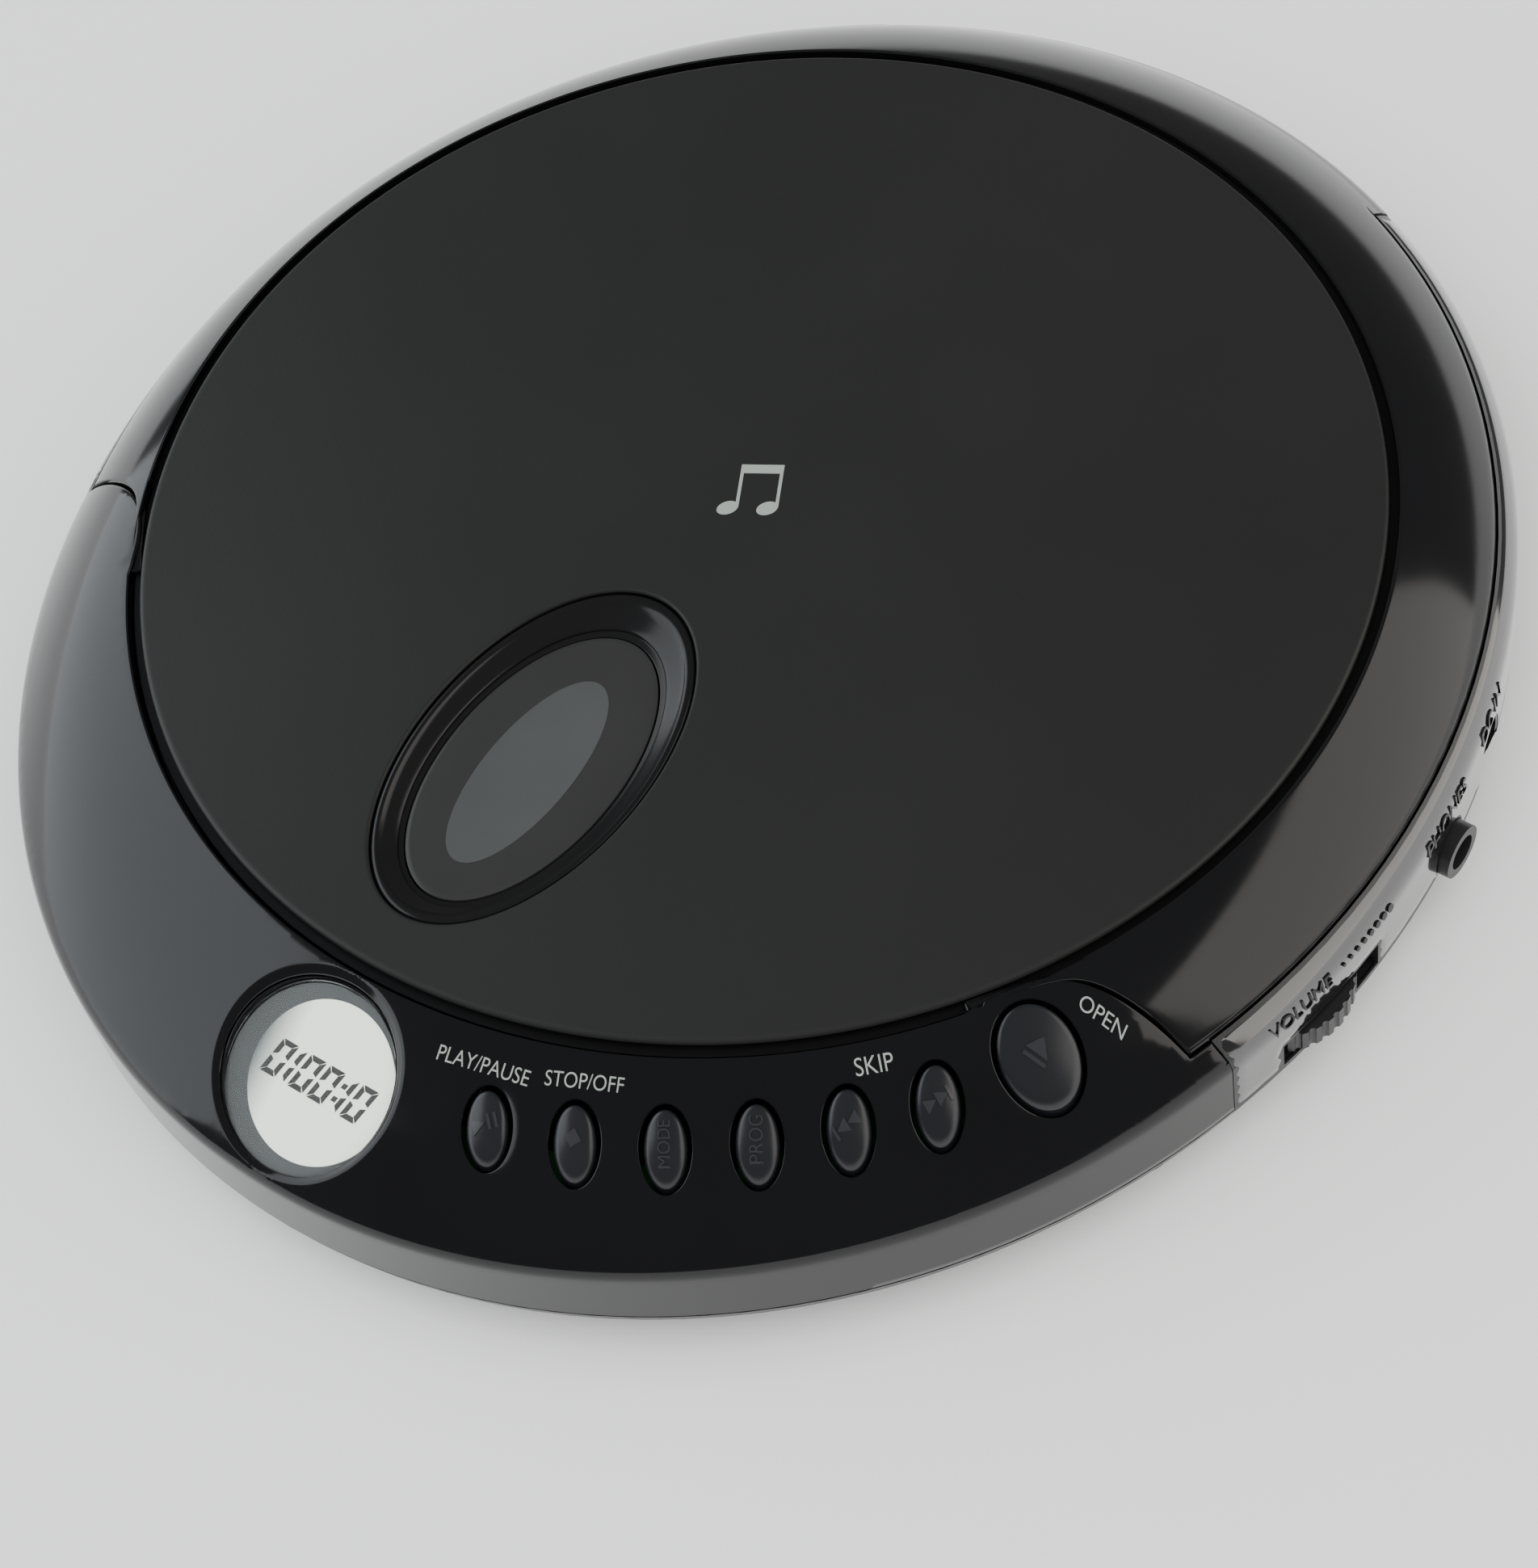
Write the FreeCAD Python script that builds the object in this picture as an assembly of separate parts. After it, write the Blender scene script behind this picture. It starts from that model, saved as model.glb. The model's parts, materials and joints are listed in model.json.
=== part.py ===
"""Portable CD player: oval body, round lid hinged at the back, controls along the front.

Frame: millimetres, +Z up, origin under the middle of the oval body where its feet rest.
-Y is the front edge with the display, +X is the right side with the sockets and the
volume wheel. The disc turns about a vertical axis a little behind the body's middle.
"""
import FreeCAD, Part
import math
import os

V = FreeCAD.Vector
Z_AXIS = V(0, 0, 1)

# ---------------------------------------------------------------- driving dimensions
HALF_WIDTH = 72.6          # body, along X
HALF_LENGTH = 79.2         # body, along Y
SPINDLE_Y = 1.45           # disc axis
GROOVE_R = 62.15           # round groove between the lid's plate and its glossy rim
GROOVE_Z = 25.2            # top of the rim at the groove
DOME_TOP = 27.3            # middle of the lid
PLATE_R = 61.1
SHOULDER_Z = 14.2          # where the side wall starts to round over
SPLIT_Z = 7.0              # joint between the upper and lower cases
WALL = 1.6
SKIN = 1.2
GAP = 0.3                  # parting gap between the lid and the base
LID_EDGE_S = 0.80          # how far the lid's rim reaches from the groove to the side
FRONT_SEAM_Y = -26.3       # across the rim, between lid and control panel
WALL_SEAM_Y = -24.0        # down the side, between control panel and middle case

WELL_R = 61.0
WELL_FLOOR_Z = 18.2
WELL_FLOOR = 1.0
WELL_TOP_Z = 20.6
DECK_Z = 16.4
DECK = 1.4

WINDOW_Y = -33.9
WINDOW_A, WINDOW_B = 12.0, 20.1      # outer edge of the window's bezel, X then Y
LENS_Y = -34.5
LENS_A, LENS_B = 9.0, 16.0

BUTTON_S = 0.45
BUTTON_FIRST_AZ = -74.8
BUTTON_STEP_AZ = 6.7
BUTTON_LONG, BUTTON_SHORT = 3.05, 1.95
BUTTON_TURN = -58.0
BUTTON_FIT = 0.2
BUTTON_PROUD = 0.5
OPEN_AZ, OPEN_S = -33.0, 0.40
OPEN_LONG, OPEN_SHORT = 4.0, 3.6
KEY_BOARD_Z = 12.2

DISPLAY_Y = -69.9
DISPLAY_R = 9.0
DISPLAY_SINK = 0.9

HINGE_Y, HINGE_Z = 72.5, 14.8
HINGE_PIN_R = 0.8
HINGE_PIN_X = 10.5         # half the pin's length
KNUCKLE_X = (2.8, 7.3)     # the lid's knuckles, each side of the middle
BOSS_X = ((-10.5, -7.6), (-2.5, 2.5), (7.6, 10.5))
LIP_Z = 16.75              # underside of the lid's rim
SKIRT_X = 30.0             # half the width of the lid's skirt over the hinge
SKIRT_Z = 12.0
SKIRT_SWEEP = 7.5          # room the skirt's edge needs round the hinge
SILL_Z = 10.6              # case wall left standing under the skirt
RUNNING = 0.05             # radial clearance of pins and shafts that turn

HOOK_AZ = -18.0
LATCH_AZ = -25.5
WHEEL_X, WHEEL_Y = 65.6, -11.0
WHEEL_R = 7.5
WHEEL_Z0, WHEEL_Z1 = 7.9, 10.5
WHEEL_TEETH = 34
PHONES_Y, PHONES_Z = 10.0, 8.4
PHONES_BORE_R = 1.8
PHONES_COLLAR_R = 2.75
DC_Y, DC_Z = 21.5, 8.4
DC_BORE_R = 2.8
DC_PIN_R = 0.65

BAY_X = 27.5               # half the battery bay's length
BAY_Y0, BAY_Y1 = 24.0, 54.0
BAY_WALL = 1.2
FLOOR_Z, FLOOR = 1.2, 1.6
DOOR = 1.2

BOARD_Z, BOARD = 3.8, 1.2
CHASSIS_Z, CHASSIS = 13.0, 1.2
DAMPER_SPOTS = [(-22.5, 17.0), (22.5, 17.0), (-22.5, -52.0), (28.5, -49.5)]
SCREW_SPOTS = [(48.0, 48.0), (-48.0, 48.0), (-63.8, -14.0), (65.6, 1.6)]
FRONT_SCREW_SPOTS = [(-40.0, -57.0), (61.9, -29.3)]
SCREW_SEAT = 3.2
COLUMN_TOP, FRONT_COLUMN_TOP = 5.2, 7.5
FOOT_SPOTS = [(44.0, 42.0), (-44.0, 42.0), (44.0, -44.0), (-44.0, -44.0)]

DISC_SEAT_Z = 19.6
HUB_R = 7.35
HUB_TOP_Z = 21.4
SHAFT_R = 0.75
LENS_START_R = 24.0        # lens to spindle, pickup fully in
PICKUP_TRAVEL = 32.0
ROD_X = (-15.0, 9.5)
ROD_Z, ROD_R = 11.2, 1.0
RACK_X = 16.5              # pitch line of the rack
RACK_MODULE = 0.6
PINION_TEETH = 12
DRIVE_MODULE = 0.4
DRIVE_TEETH = 40
MOTOR_TEETH = 10
DRIVE_Y = -30.0


# ---------------------------------------------------------------- plain solids
def box(x0, x1, y0, y1, z0, z1):
    return Part.makeBox(x1 - x0, y1 - y0, z1 - z0, V(x0, y0, z0))


def cyl(r, z0, z1, x=0.0, y=0.0):
    return Part.makeCylinder(r, z1 - z0, V(x, y, z0))


def x_cyl(r, x0, x1, y, z):
    return Part.makeCylinder(r, x1 - x0, V(x0, y, z), V(1, 0, 0))


def x_prism(r, sides, x0, x1, y, z):
    """Many-sided hole tool along X whose flats are r from its axis."""
    reach = r / math.cos(math.pi / sides)
    turns = [2 * math.pi * (i + 0.5) / sides for i in range(sides + 1)]
    wire = Part.makePolygon([V(x0, y + reach * math.cos(t), z + reach * math.sin(t))
                             for t in turns])
    return Part.Face(wire).extrude(V(x1 - x0, 0, 0))


def y_cyl(r, y0, y1, x, z):
    return Part.makeCylinder(r, y1 - y0, V(x, y0, z), V(0, 1, 0))


def ring(r_out, r_in, z0, z1, x=0.0, y=0.0):
    return cyl(r_out, z0, z1, x, y).cut(cyl(r_in, z0 - 1, z1 + 1, x, y))


def oval_wire(a, b, cy, z):
    """Closed ellipse at height z, a along X and b along Y; it always starts at +Y."""
    centre = V(0, cy, z)
    if b > a:
        edge = Part.Ellipse(V(0, cy + b, z), V(-a, cy, z), centre).toShape()
    else:
        edge = Part.Ellipse(V(a, cy, z), V(0, cy + b, z), centre).toShape()
    return Part.Wire(edge)


def oval(a, b, cy, z0, z1):
    return Part.Face(oval_wire(a, b, cy, z0)).extrude(V(0, 0, z1 - z0))


def turned_oval(x, y, long_r, short_r, turn, z0, z1):
    """Vertical oval prism centred on x, y with its long axis at turn degrees."""
    wire = oval_wire(short_r, long_r, 0, z0)
    solid = Part.Face(wire).extrude(V(0, 0, z1 - z0))
    solid.rotate(V(0, 0, 0), Z_AXIS, turn - 90)
    solid.translate(V(x, y, 0))
    return solid


def fuse(parts):
    return parts[0].fuse(parts[1:])


def group(solids):
    """Separate, identical pieces kept as one node."""
    return Part.makeCompound(solids)


def save(name, shape):
    shape.exportStep(os.path.join("parts", name + ".step"))
    print("%-22s solids %2d  valid %s  volume %9.1f" % (
        name, len(shape.Solids), shape.isValid(), shape.Volume))


# ---------------------------------------------------------------- the body's outer form
def oval_at(s):
    """Half axes and centre of the oval a fraction s of the way from groove to side."""
    a = GROOVE_R + (HALF_WIDTH - GROOVE_R) * s
    b = GROOVE_R + (HALF_LENGTH - GROOVE_R) * s
    return a, b, SPINDLE_Y * (1 - s)


def top_z(s):
    """Height of the sloping rim: a gentle fall from the groove that steepens outwards."""
    u = s / 0.92
    return GROOVE_Z - 5.6 * u - 3.4 * u ** 2.5


RIM_STEPS = [0.92, 0.86, 0.80, 0.72, 0.62, 0.50, 0.36, 0.20, 0.0]


def body_solid(z_bottom, inset=0.0, drop=0.0):
    """Whole upper body as a solid; inset and drop shrink it to make the inside."""
    levels = [(1.0, z_bottom), (1.0, SHOULDER_Z), (0.97, 15.3)]
    levels += [(s, top_z(s)) for s in RIM_STEPS]
    wires = []
    for index, (s, z) in enumerate(levels):
        a, b, cy = oval_at(s)
        wires.append(oval_wire(a - inset, b - inset + 0.001, cy, z - (drop if index else 0)))
    return Part.makeLoft(wires, True, True)


def rim_oval(s, z0=0.0, z1=40.0):
    a, b, cy = oval_at(s)
    return oval(a, b + 0.001, cy, z0, z1)


def rim_point(azimuth, s):
    """Point on the sloping rim in the direction azimuth from the spindle."""
    a, b, cy = oval_at(s)
    c, d = math.cos(math.radians(azimuth)), math.sin(math.radians(azimuth))
    k = SPINDLE_Y - cy
    qa = (c / a) ** 2 + (d / b) ** 2
    qb = 2 * d * k / b ** 2
    qc = (k / b) ** 2 - 1
    r = (-qb + math.sqrt(qb * qb - 4 * qa * qc)) / (2 * qa)
    return V(r * c, SPINDLE_Y + r * d, top_z(s))


def rim_frame(azimuth, s):
    """Rotation whose Z is the rim's outward normal and whose Y points up the slope."""
    step = 0.01
    out = rim_point(azimuth, s + step) - rim_point(azimuth, s - step)
    along = rim_point(azimuth + 0.5, s) - rim_point(azimuth - 0.5, s)
    normal = out.cross(along).normalize()
    up_slope = (Z_AXIS - normal * normal.z).normalize()
    return FreeCAD.Rotation(up_slope.cross(normal), up_slope, normal, "ZXY")


def above_plane(point, rotation, offset, size=40.0):
    """Everything on the outer side of a plane parallel to the rim at a point."""
    block = Part.makeBox(size, size, size, V(-size / 2, -size / 2, offset))
    block.Placement = FreeCAD.Placement(point, rotation)
    return block


OUTER = body_solid(SPLIT_Z)
INNER = body_solid(SPLIT_Z - 1.0, WALL, SKIN)
SHELL = OUTER.cut(INNER)
BUTTON_NAMES = [
    "play_pause_button", "stop_button", "mode_button",
    "program_button", "skip_back_button", "skip_forward_button"]
BUTTONS = [(name, BUTTON_FIRST_AZ + BUTTON_STEP_AZ * i, BUTTON_S, BUTTON_LONG, BUTTON_SHORT,
            BUTTON_TURN) for i, name in enumerate(BUTTON_NAMES)]
BUTTONS.append(("open_button", OPEN_AZ, OPEN_S, OPEN_LONG, OPEN_SHORT, OPEN_AZ))
DISPLAY_AT = V(0, DISPLAY_Y, 0)
DISPLAY_S = (abs(DISPLAY_Y) - GROOVE_R + SPINDLE_Y) / (HALF_LENGTH - GROOVE_R + SPINDLE_Y)
DISPLAY_AT.z = top_z(DISPLAY_S) - DISPLAY_SINK
DISPLAY_ROT = rim_frame(-90.0, DISPLAY_S)


def display_disc(r, z0, z1):
    """Round solid lying in the display's tilted plane."""
    disc = Part.makeCylinder(r, z1 - z0, V(0, 0, z0))
    disc.Placement = FreeCAD.Placement(DISPLAY_AT, DISPLAY_ROT)
    return disc


def display_box(w, h, z0, z1):
    block = Part.makeBox(w, h, z1 - z0, V(-w / 2, -h / 2, z0))
    block.Placement = FreeCAD.Placement(DISPLAY_AT, DISPLAY_ROT)
    return block


# ---------------------------------------------------------------- the lid
DOME_R = (PLATE_R ** 2 + (DOME_TOP - 25.5) ** 2) / (2 * (DOME_TOP - 25.5))


def dome(depth):
    """Ball whose top is depth below the middle of the lid."""
    return Part.makeSphere(DOME_R - depth, V(0, SPINDLE_Y, DOME_TOP - DOME_R))


def domed_disc(r, depth_top, depth_bottom):
    disc = cyl(r, 20, 30, 0, SPINDLE_Y).common(dome(depth_top))
    return disc.cut(dome(depth_bottom))


def lid_panel():
    plate = domed_disc(PLATE_R, 0.0, 1.2)
    return plate.cut(oval(WINDOW_A + 0.1, WINDOW_B + 0.1, WINDOW_Y, 20, 30))


def knuckle(side):
    """Arm from the lid's back rim down round the hinge pin."""
    x0, x1 = sorted((side * KNUCKLE_X[0], side * KNUCKLE_X[1]))
    eye = x_cyl(1.8, x0, x1, HINGE_Y, HINGE_Z)
    arm = box(x0, x1, HINGE_Y - 1.4, HINGE_Y + 1.4, HINGE_Z, 21.0).common(OUTER)
    return eye.fuse(arm)


def lid_hook():
    """Catch that drops through the well's rim and the deck beside the OPEN button."""
    stem = box(61.05, 62.15, -3.0, 3.0, 11.4, 23.4)
    nose = box(61.05, 63.2, -3.0, 3.0, 11.4, 12.5)
    hook = stem.fuse(nose)
    hook.rotate(V(0, 0, 0), Z_AXIS, HOOK_AZ)
    hook.translate(V(0, SPINDLE_Y, 0))
    return hook


def lid_shell():
    inside = rim_oval(LID_EDGE_S, LIP_Z).cut(box(-100, 100, -100, FRONT_SEAM_Y, 0, 50))
    skirt_zone = box(-SKIRT_X, SKIRT_X, 55.0, 100, SKIRT_Z, 50)
    rim = SHELL.common(inside.fuse(skirt_zone)).cut(cyl(GROOVE_R - 0.4, 0, 50, 0, SPINDLE_Y))
    disc = domed_disc(GROOVE_R - 0.25, 1.2, 2.6)
    step = ring(GROOVE_R + 1.4, PLATE_R + 0.1, 22.6, GROOVE_Z, 0, SPINDLE_Y)
    step = step.common(OUTER)
    step = step.cut(box(-100, 100, -100, FRONT_SEAM_Y, 0, 50))
    channel = ring(GROOVE_R - 0.05, PLATE_R, 24.3, 30, 0, SPINDLE_Y)
    shell = fuse([disc, step, rim]).cut(channel)
    shell = shell.cut(oval(WINDOW_A - 1.6, WINDOW_B - 1.6, WINDOW_Y, 10, 30))
    skirt = ring(GROOVE_R - 0.25, GROOVE_R - 1.45, 21.2, 23.6, 0, SPINDLE_Y)
    shell = fuse([shell, skirt, lid_hook(), knuckle(-1), knuckle(1)])
    return shell.cut(x_cyl(HINGE_PIN_R + RUNNING, -11, 11, HINGE_Y, HINGE_Z))


def window_ring():
    """Glossy funnel-shaped bezel, sunk a little below the plate."""
    body = oval(WINDOW_A, WINDOW_B, WINDOW_Y, 20, 30).common(dome(0.15)).cut(dome(1.2))
    funnel = Part.makeLoft([oval_wire(LENS_A + 0.25, LENS_B + 0.25, LENS_Y, 25.3),
                            oval_wire(WINDOW_A - 0.6, WINDOW_B - 0.6, WINDOW_Y, 27.1)],
                           True, True)
    hole = oval(LENS_A + 0.1, LENS_B + 0.1, LENS_Y, 20, 30)
    return body.cut(hole).cut(funnel)


def window_lens():
    return oval(LENS_A, LENS_B, LENS_Y, 20, 30).common(dome(0.9)).cut(dome(2.3))


# ---------------------------------------------------------------- the base
def control_zone():
    """The part of the body's shell that belongs to the control panel."""
    front = box(-100, 100, -100, WALL_SEAM_Y - 0.05, 0, 50)
    notch = rim_oval(LID_EDGE_S + 0.02).common(
        box(-100, 100, FRONT_SEAM_Y - GAP, 100, 0, 50))
    return front.cut(notch)


def screw_post(x, y, z_top):
    return ring(2.5, 0.9, COLUMN_TOP, z_top, x, y)


def hook_slot(r0, r1, z0, z1):
    slot = box(r0, r1, -3.6, 3.6, z0, z1)
    slot.rotate(V(0, 0, 0), Z_AXIS, HOOK_AZ)
    slot.translate(V(0, SPINDLE_Y, 0))
    return slot


def button_hole(azimuth, s, long_r, short_r, turn):
    """Clear hole for the button, with a shallow moulded dish round it."""
    at = rim_point(azimuth, s)
    hole = turned_oval(at.x, at.y, long_r + BUTTON_FIT, short_r + BUTTON_FIT, turn, 10, 30)
    dish = turned_oval(at.x, at.y, long_r + 0.9, short_r + 0.9, turn, 15, 30)
    dish = dish.common(above_plane(at, rim_frame(azimuth, s), -0.45))
    under = turned_oval(at.x, at.y, long_r + 0.9, short_r + 0.9, turn, 10, FLANGE_Z + 0.8)
    return fuse([hole, dish, under])


def control_panel():
    inner_r = GROOVE_R + 0.45
    shell = SHELL.common(control_zone()).cut(cyl(inner_r, 0, 50, 0, SPINDLE_Y))
    lip = ring(inner_r + 1.2, inner_r, WELL_TOP_Z - 2.2, 30, 0, SPINDLE_Y)
    lip = lip.common(OUTER).common(control_zone())
    posts = [ring(2.5, 0.9, FRONT_COLUMN_TOP, 22.0, x, y).common(OUTER)
             for x, y in FRONT_SCREW_SPOTS]
    panel = fuse([shell, lip] + posts)
    panel = panel.cut(display_disc(DISPLAY_R + 0.15, -1.3, 9.0))
    panel = panel.cut(display_disc(DISPLAY_R - 0.9, -6.0, 0.0))
    for _, azimuth, s, long_r, short_r, turn in BUTTONS:
        panel = panel.cut(button_hole(azimuth, s, long_r, short_r, turn))
    return panel


def socket_cuts():
    """Openings in the right side wall: wheel slot, earphone socket, power socket."""
    slot = box(60, 80, WHEEL_Y - 6.9, WHEEL_Y + 6.9, WHEEL_Z0 - 0.3, WHEEL_Z1 + 0.3)
    phones = x_prism(PHONES_COLLAR_R + 0.15, 32, 60, 80, PHONES_Y, PHONES_Z)
    power = x_cyl(DC_BORE_R + 0.6, 60, 80, DC_Y, DC_Z)
    return [slot, phones, power]


def hinge_boss(x0, x1):
    eye = x_cyl(1.6, x0, x1, HINGE_Y, HINGE_Z)
    web = box(x0, x1, 60.0, HINGE_Y, HINGE_Z - 1.4, HINGE_Z + 1.2)
    return eye.fuse(web)


def skirt_room():
    """Space the lid's skirt needs: an opening in the wall and a barrel round the hinge."""
    half = SKIRT_X + GAP
    opening = box(-half, half, 55.0, 100, SILL_Z, 50)
    opening = opening.cut(cyl(WELL_R + 1.2, 0, 50, 0, SPINDLE_Y))
    ends = [V(-half, HINGE_Y + 3.0, HINGE_Z), V(half, HINGE_Y + 3.0, HINGE_Z)]
    feet = [V(half, HINGE_Y, HINGE_Z), V(-half, HINGE_Y, HINGE_Z)]
    arc = Part.Arc(ends[0], V(0, HINGE_Y + SKIRT_SWEEP, HINGE_Z), ends[1]).toShape()
    sides = Part.makePolygon([ends[1], feet[0], feet[1], ends[0]])
    profile = Part.Face(Part.Wire([arc] + sides.Edges))
    return [opening, profile.revolve(feet[0], V(1, 0, 0), 360)]


def middle_case():
    rest = box(-100, 100, WALL_SEAM_Y, 100, 0, 50).cut(rim_oval(LID_EDGE_S + 0.025))
    shell = SHELL.common(rest)
    deck = OUTER.common(box(-100, 100, WALL_SEAM_Y, 100, DECK_Z - DECK, DECK_Z))
    deck = deck.cut(cyl(WELL_R, 0, 50, 0, SPINDLE_Y))
    well = ring(WELL_R + 1.2, WELL_R, DECK_Z - DECK, WELL_TOP_Z, 0, SPINDLE_Y)
    case = fuse([shell, deck, well])
    case = case.cut(hook_slot(60.2, 64.2, 10.0, 30.0))
    for room in skirt_room():
        case = case.cut(room)
    bosses = [hinge_boss(x0, x1) for x0, x1 in BOSS_X]
    posts = [screw_post(x, y, DECK_Z - 0.2) for x, y in SCREW_SPOTS]
    case = fuse([case] + bosses + posts)
    case = case.cut(x_cyl(HINGE_PIN_R, -HINGE_PIN_X, HINGE_PIN_X, HINGE_Y, HINGE_Z))
    for cut in socket_cuts():
        case = case.cut(cut)
    return case


def disc_deck():
    """Floor of the disc well, with openings for the hub and the pickup."""
    floor = cyl(WELL_R - 0.03, WELL_FLOOR_Z - WELL_FLOOR, WELL_FLOOR_Z, 0, SPINDLE_Y)
    floor = floor.cut(cyl(16.0, 10, 30, 0, SPINDLE_Y))
    floor = floor.cut(box(-9.0, 9.0, -62.0, -10.0, 10, 30))
    return floor.cut(hook_slot(60.2, 64.2, 10.0, 30.0))


def deck_posts():
    """Tubes under the well floor that carry the mechanism's rubber dampers."""
    return group([ring(1.5, 0.6, CHASSIS_Z - 1.0, WELL_FLOOR_Z - WELL_FLOOR, x, y)
                  for x, y in DAMPER_SPOTS])


def bowl(grow):
    """Lower case's outer form, or its inside when grow is negative."""
    rows = [(6.95, 0.1), (5.6, 0.55), (4.3, 1.5), (3.0, 3.3), (2.0, 6.0), (1.4, 9.6), (1.2, 13.0)]
    lift = 0.0 if grow == 0 else FLOOR
    wires = []
    for z, inset in rows:
        a, b = HALF_WIDTH - inset + grow, HALF_LENGTH - inset + grow
        wires.append(oval_wire(a, b, 0, z + lift))
    return Part.makeLoft(wires, True, True)


def door_plan(grow):
    return (-BAY_X - 1.0 - grow, BAY_X + 1.0 + grow, BAY_Y0 - 1.0 - grow, BAY_Y1 + 1.0 + grow)


def bottom_case():
    case = bowl(0).cut(bowl(-WALL))
    walls = box(-BAY_X - BAY_WALL, BAY_X + BAY_WALL, BAY_Y0 - BAY_WALL, BAY_Y1 + BAY_WALL,
                FLOOR_Z + 0.4, WELL_FLOOR_Z - WELL_FLOOR - 0.1)
    walls = walls.cut(box(-BAY_X, BAY_X, BAY_Y0, BAY_Y1, 0, 30))
    ribs = [cyl(1.8, FLOOR_Z + 0.5, BOARD_Z, x, y) for x, y in BOARD_RESTS]
    columns = [cyl(3.2, 2.4, COLUMN_TOP, x, y) for x, y in SCREW_SPOTS]
    columns += [cyl(3.2, 2.4, FRONT_COLUMN_TOP, x, y) for x, y in FRONT_SCREW_SPOTS]
    eyes = [box(x, x + 1.7, BAY_Y0 - 1.9, BAY_Y0 + 1.7, FLOOR_Z + 0.4, 4.2)
            for x in (-DOOR_EYE_X - 1.7, DOOR_EYE_X)]
    case = fuse([case, walls] + ribs + columns + eyes)
    case = case.cut(box(-BAY_X, BAY_X, BAY_Y0, BAY_Y1, 0, 30))
    case = case.cut(box(*door_plan(0.15), 0, FLOOR_Z + DOOR))
    for x, y in SCREW_SPOTS + FRONT_SCREW_SPOTS:
        case = case.cut(cyl(1.1, 0, 8, x, y))
        case = case.cut(cyl(2.2, 0, SCREW_SEAT, x, y))
    for x, y in FOOT_SPOTS:
        case = case.cut(cyl(4.0, 0, FLOOR_Z + 0.8, x, y))
    for x in (-BAY_X - 1.0, BAY_X + 1.0):
        case = case.cut(x_cyl(0.8 + RUNNING, x - 1.5, x + 1.5, BAY_Y0 - 0.1, DOOR_AXIS_Z))
    barrel_room = x_cyl(1.65, -DOOR_EYE_X, DOOR_EYE_X, BAY_Y0 - 0.1, DOOR_AXIS_Z)
    case = case.cut(barrel_room)
    for cut in socket_cuts():
        case = case.cut(cut)
    return case


BOARD_RESTS = [(-18.0, -36.0), (46.0, -30.0), (46.0, 16.0), (-18.0, 14.0)]
DOOR_AXIS_Z = 2.4
DOOR_EYE_X = BAY_X + 1.15


def battery_door():
    x0, x1, y0, y1 = door_plan(0.0)
    plate = box(x0, x1, y0, y1, FLOOR_Z, FLOOR_Z + DOOR)
    latch = box(-6, 6, y1 - 0.6, y1 + 0.0, FLOOR_Z + 0.2, FLOOR_Z + DOOR)
    grip = box(-5, 5, y1 - 6.0, y1 - 5.0, FLOOR_Z - 0.1, FLOOR_Z + 0.3)
    grips = [grip.translated(V(0, -2.0 * i, 0)) for i in range(3)]
    barrel = x_cyl(0.8, x0 - 0.9, x1 + 0.9, BAY_Y0 - 0.1, DOOR_AXIS_Z)
    return fuse([plate, latch, barrel]).cut(group(grips))


def case_screws():
    screws = []
    for x, y in SCREW_SPOTS + FRONT_SCREW_SPOTS:
        seat = SCREW_SEAT
        head = cyl(1.9, seat - 1.1, seat, x, y)
        shank = cyl(0.9, seat, seat + 9.0, x, y)
        slot = [box(x - 1.2, x + 1.2, y - 0.2, y + 0.2, seat - 1.2, seat - 0.5),
                box(x - 0.2, x + 0.2, y - 1.2, y + 1.2, seat - 1.2, seat - 0.5)]
        screws.append(head.fuse(shank).removeSplitter().cut(group(slot)))
    return group(screws)


def rubber_feet():
    return group([cyl(3.9, 0.0, FLOOR_Z + 0.8, x, y) for x, y in FOOT_SPOTS])


def hinge_pin():
    return x_cyl(HINGE_PIN_R, -HINGE_PIN_X, HINGE_PIN_X, HINGE_Y, HINGE_Z)


# ---------------------------------------------------------------- controls
def button(azimuth, s, long_r, short_r, turn):
    """Domed oval cap on a stem, with a flange that stops under the panel."""
    at = rim_point(azimuth, s)
    frame = rim_frame(azimuth, s)
    body = turned_oval(at.x, at.y, long_r, short_r, turn, FLANGE_Z, 30)
    body = body.cut(above_plane(at, frame, BUTTON_PROUD))
    bevel = turned_oval(at.x, at.y, long_r - 0.45, short_r - 0.45, turn, 10, 30)
    crown = body.cut(above_plane(at, frame, BUTTON_PROUD - 0.3))
    crown = crown.fuse(body.common(bevel))
    stem = cyl(1.1, STEM_Z, FLANGE_Z + 0.3, at.x, at.y)
    flange = turned_oval(at.x, at.y, long_r + 0.5, short_r + 0.5, turn,
                         FLANGE_Z, FLANGE_Z + 0.6)
    return fuse([crown, flange, stem])


STEM_Z = KEY_BOARD_Z + 1.2 + 2.0      # underside of the button stems, on the switches
FLANGE_Z = STEM_Z + 0.4


def tact_switches():
    """Low push switches, one under each button's stem."""
    switches = []
    for _, azimuth, s, _, _, turn in BUTTONS[:6]:
        at = rim_point(azimuth, s)
        base = box(-2.2, 2.2, -1.6, 1.6, 0, 0.9)
        tip = cyl(0.8, 0.9, 1.3)
        one = base.fuse(tip)
        one.rotate(V(0, 0, 0), Z_AXIS, turn)
        one.translate(V(at.x, at.y, KEY_BOARD_Z + 1.2))
        switches.append(one.removeSplitter())
    return group(switches)


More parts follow.
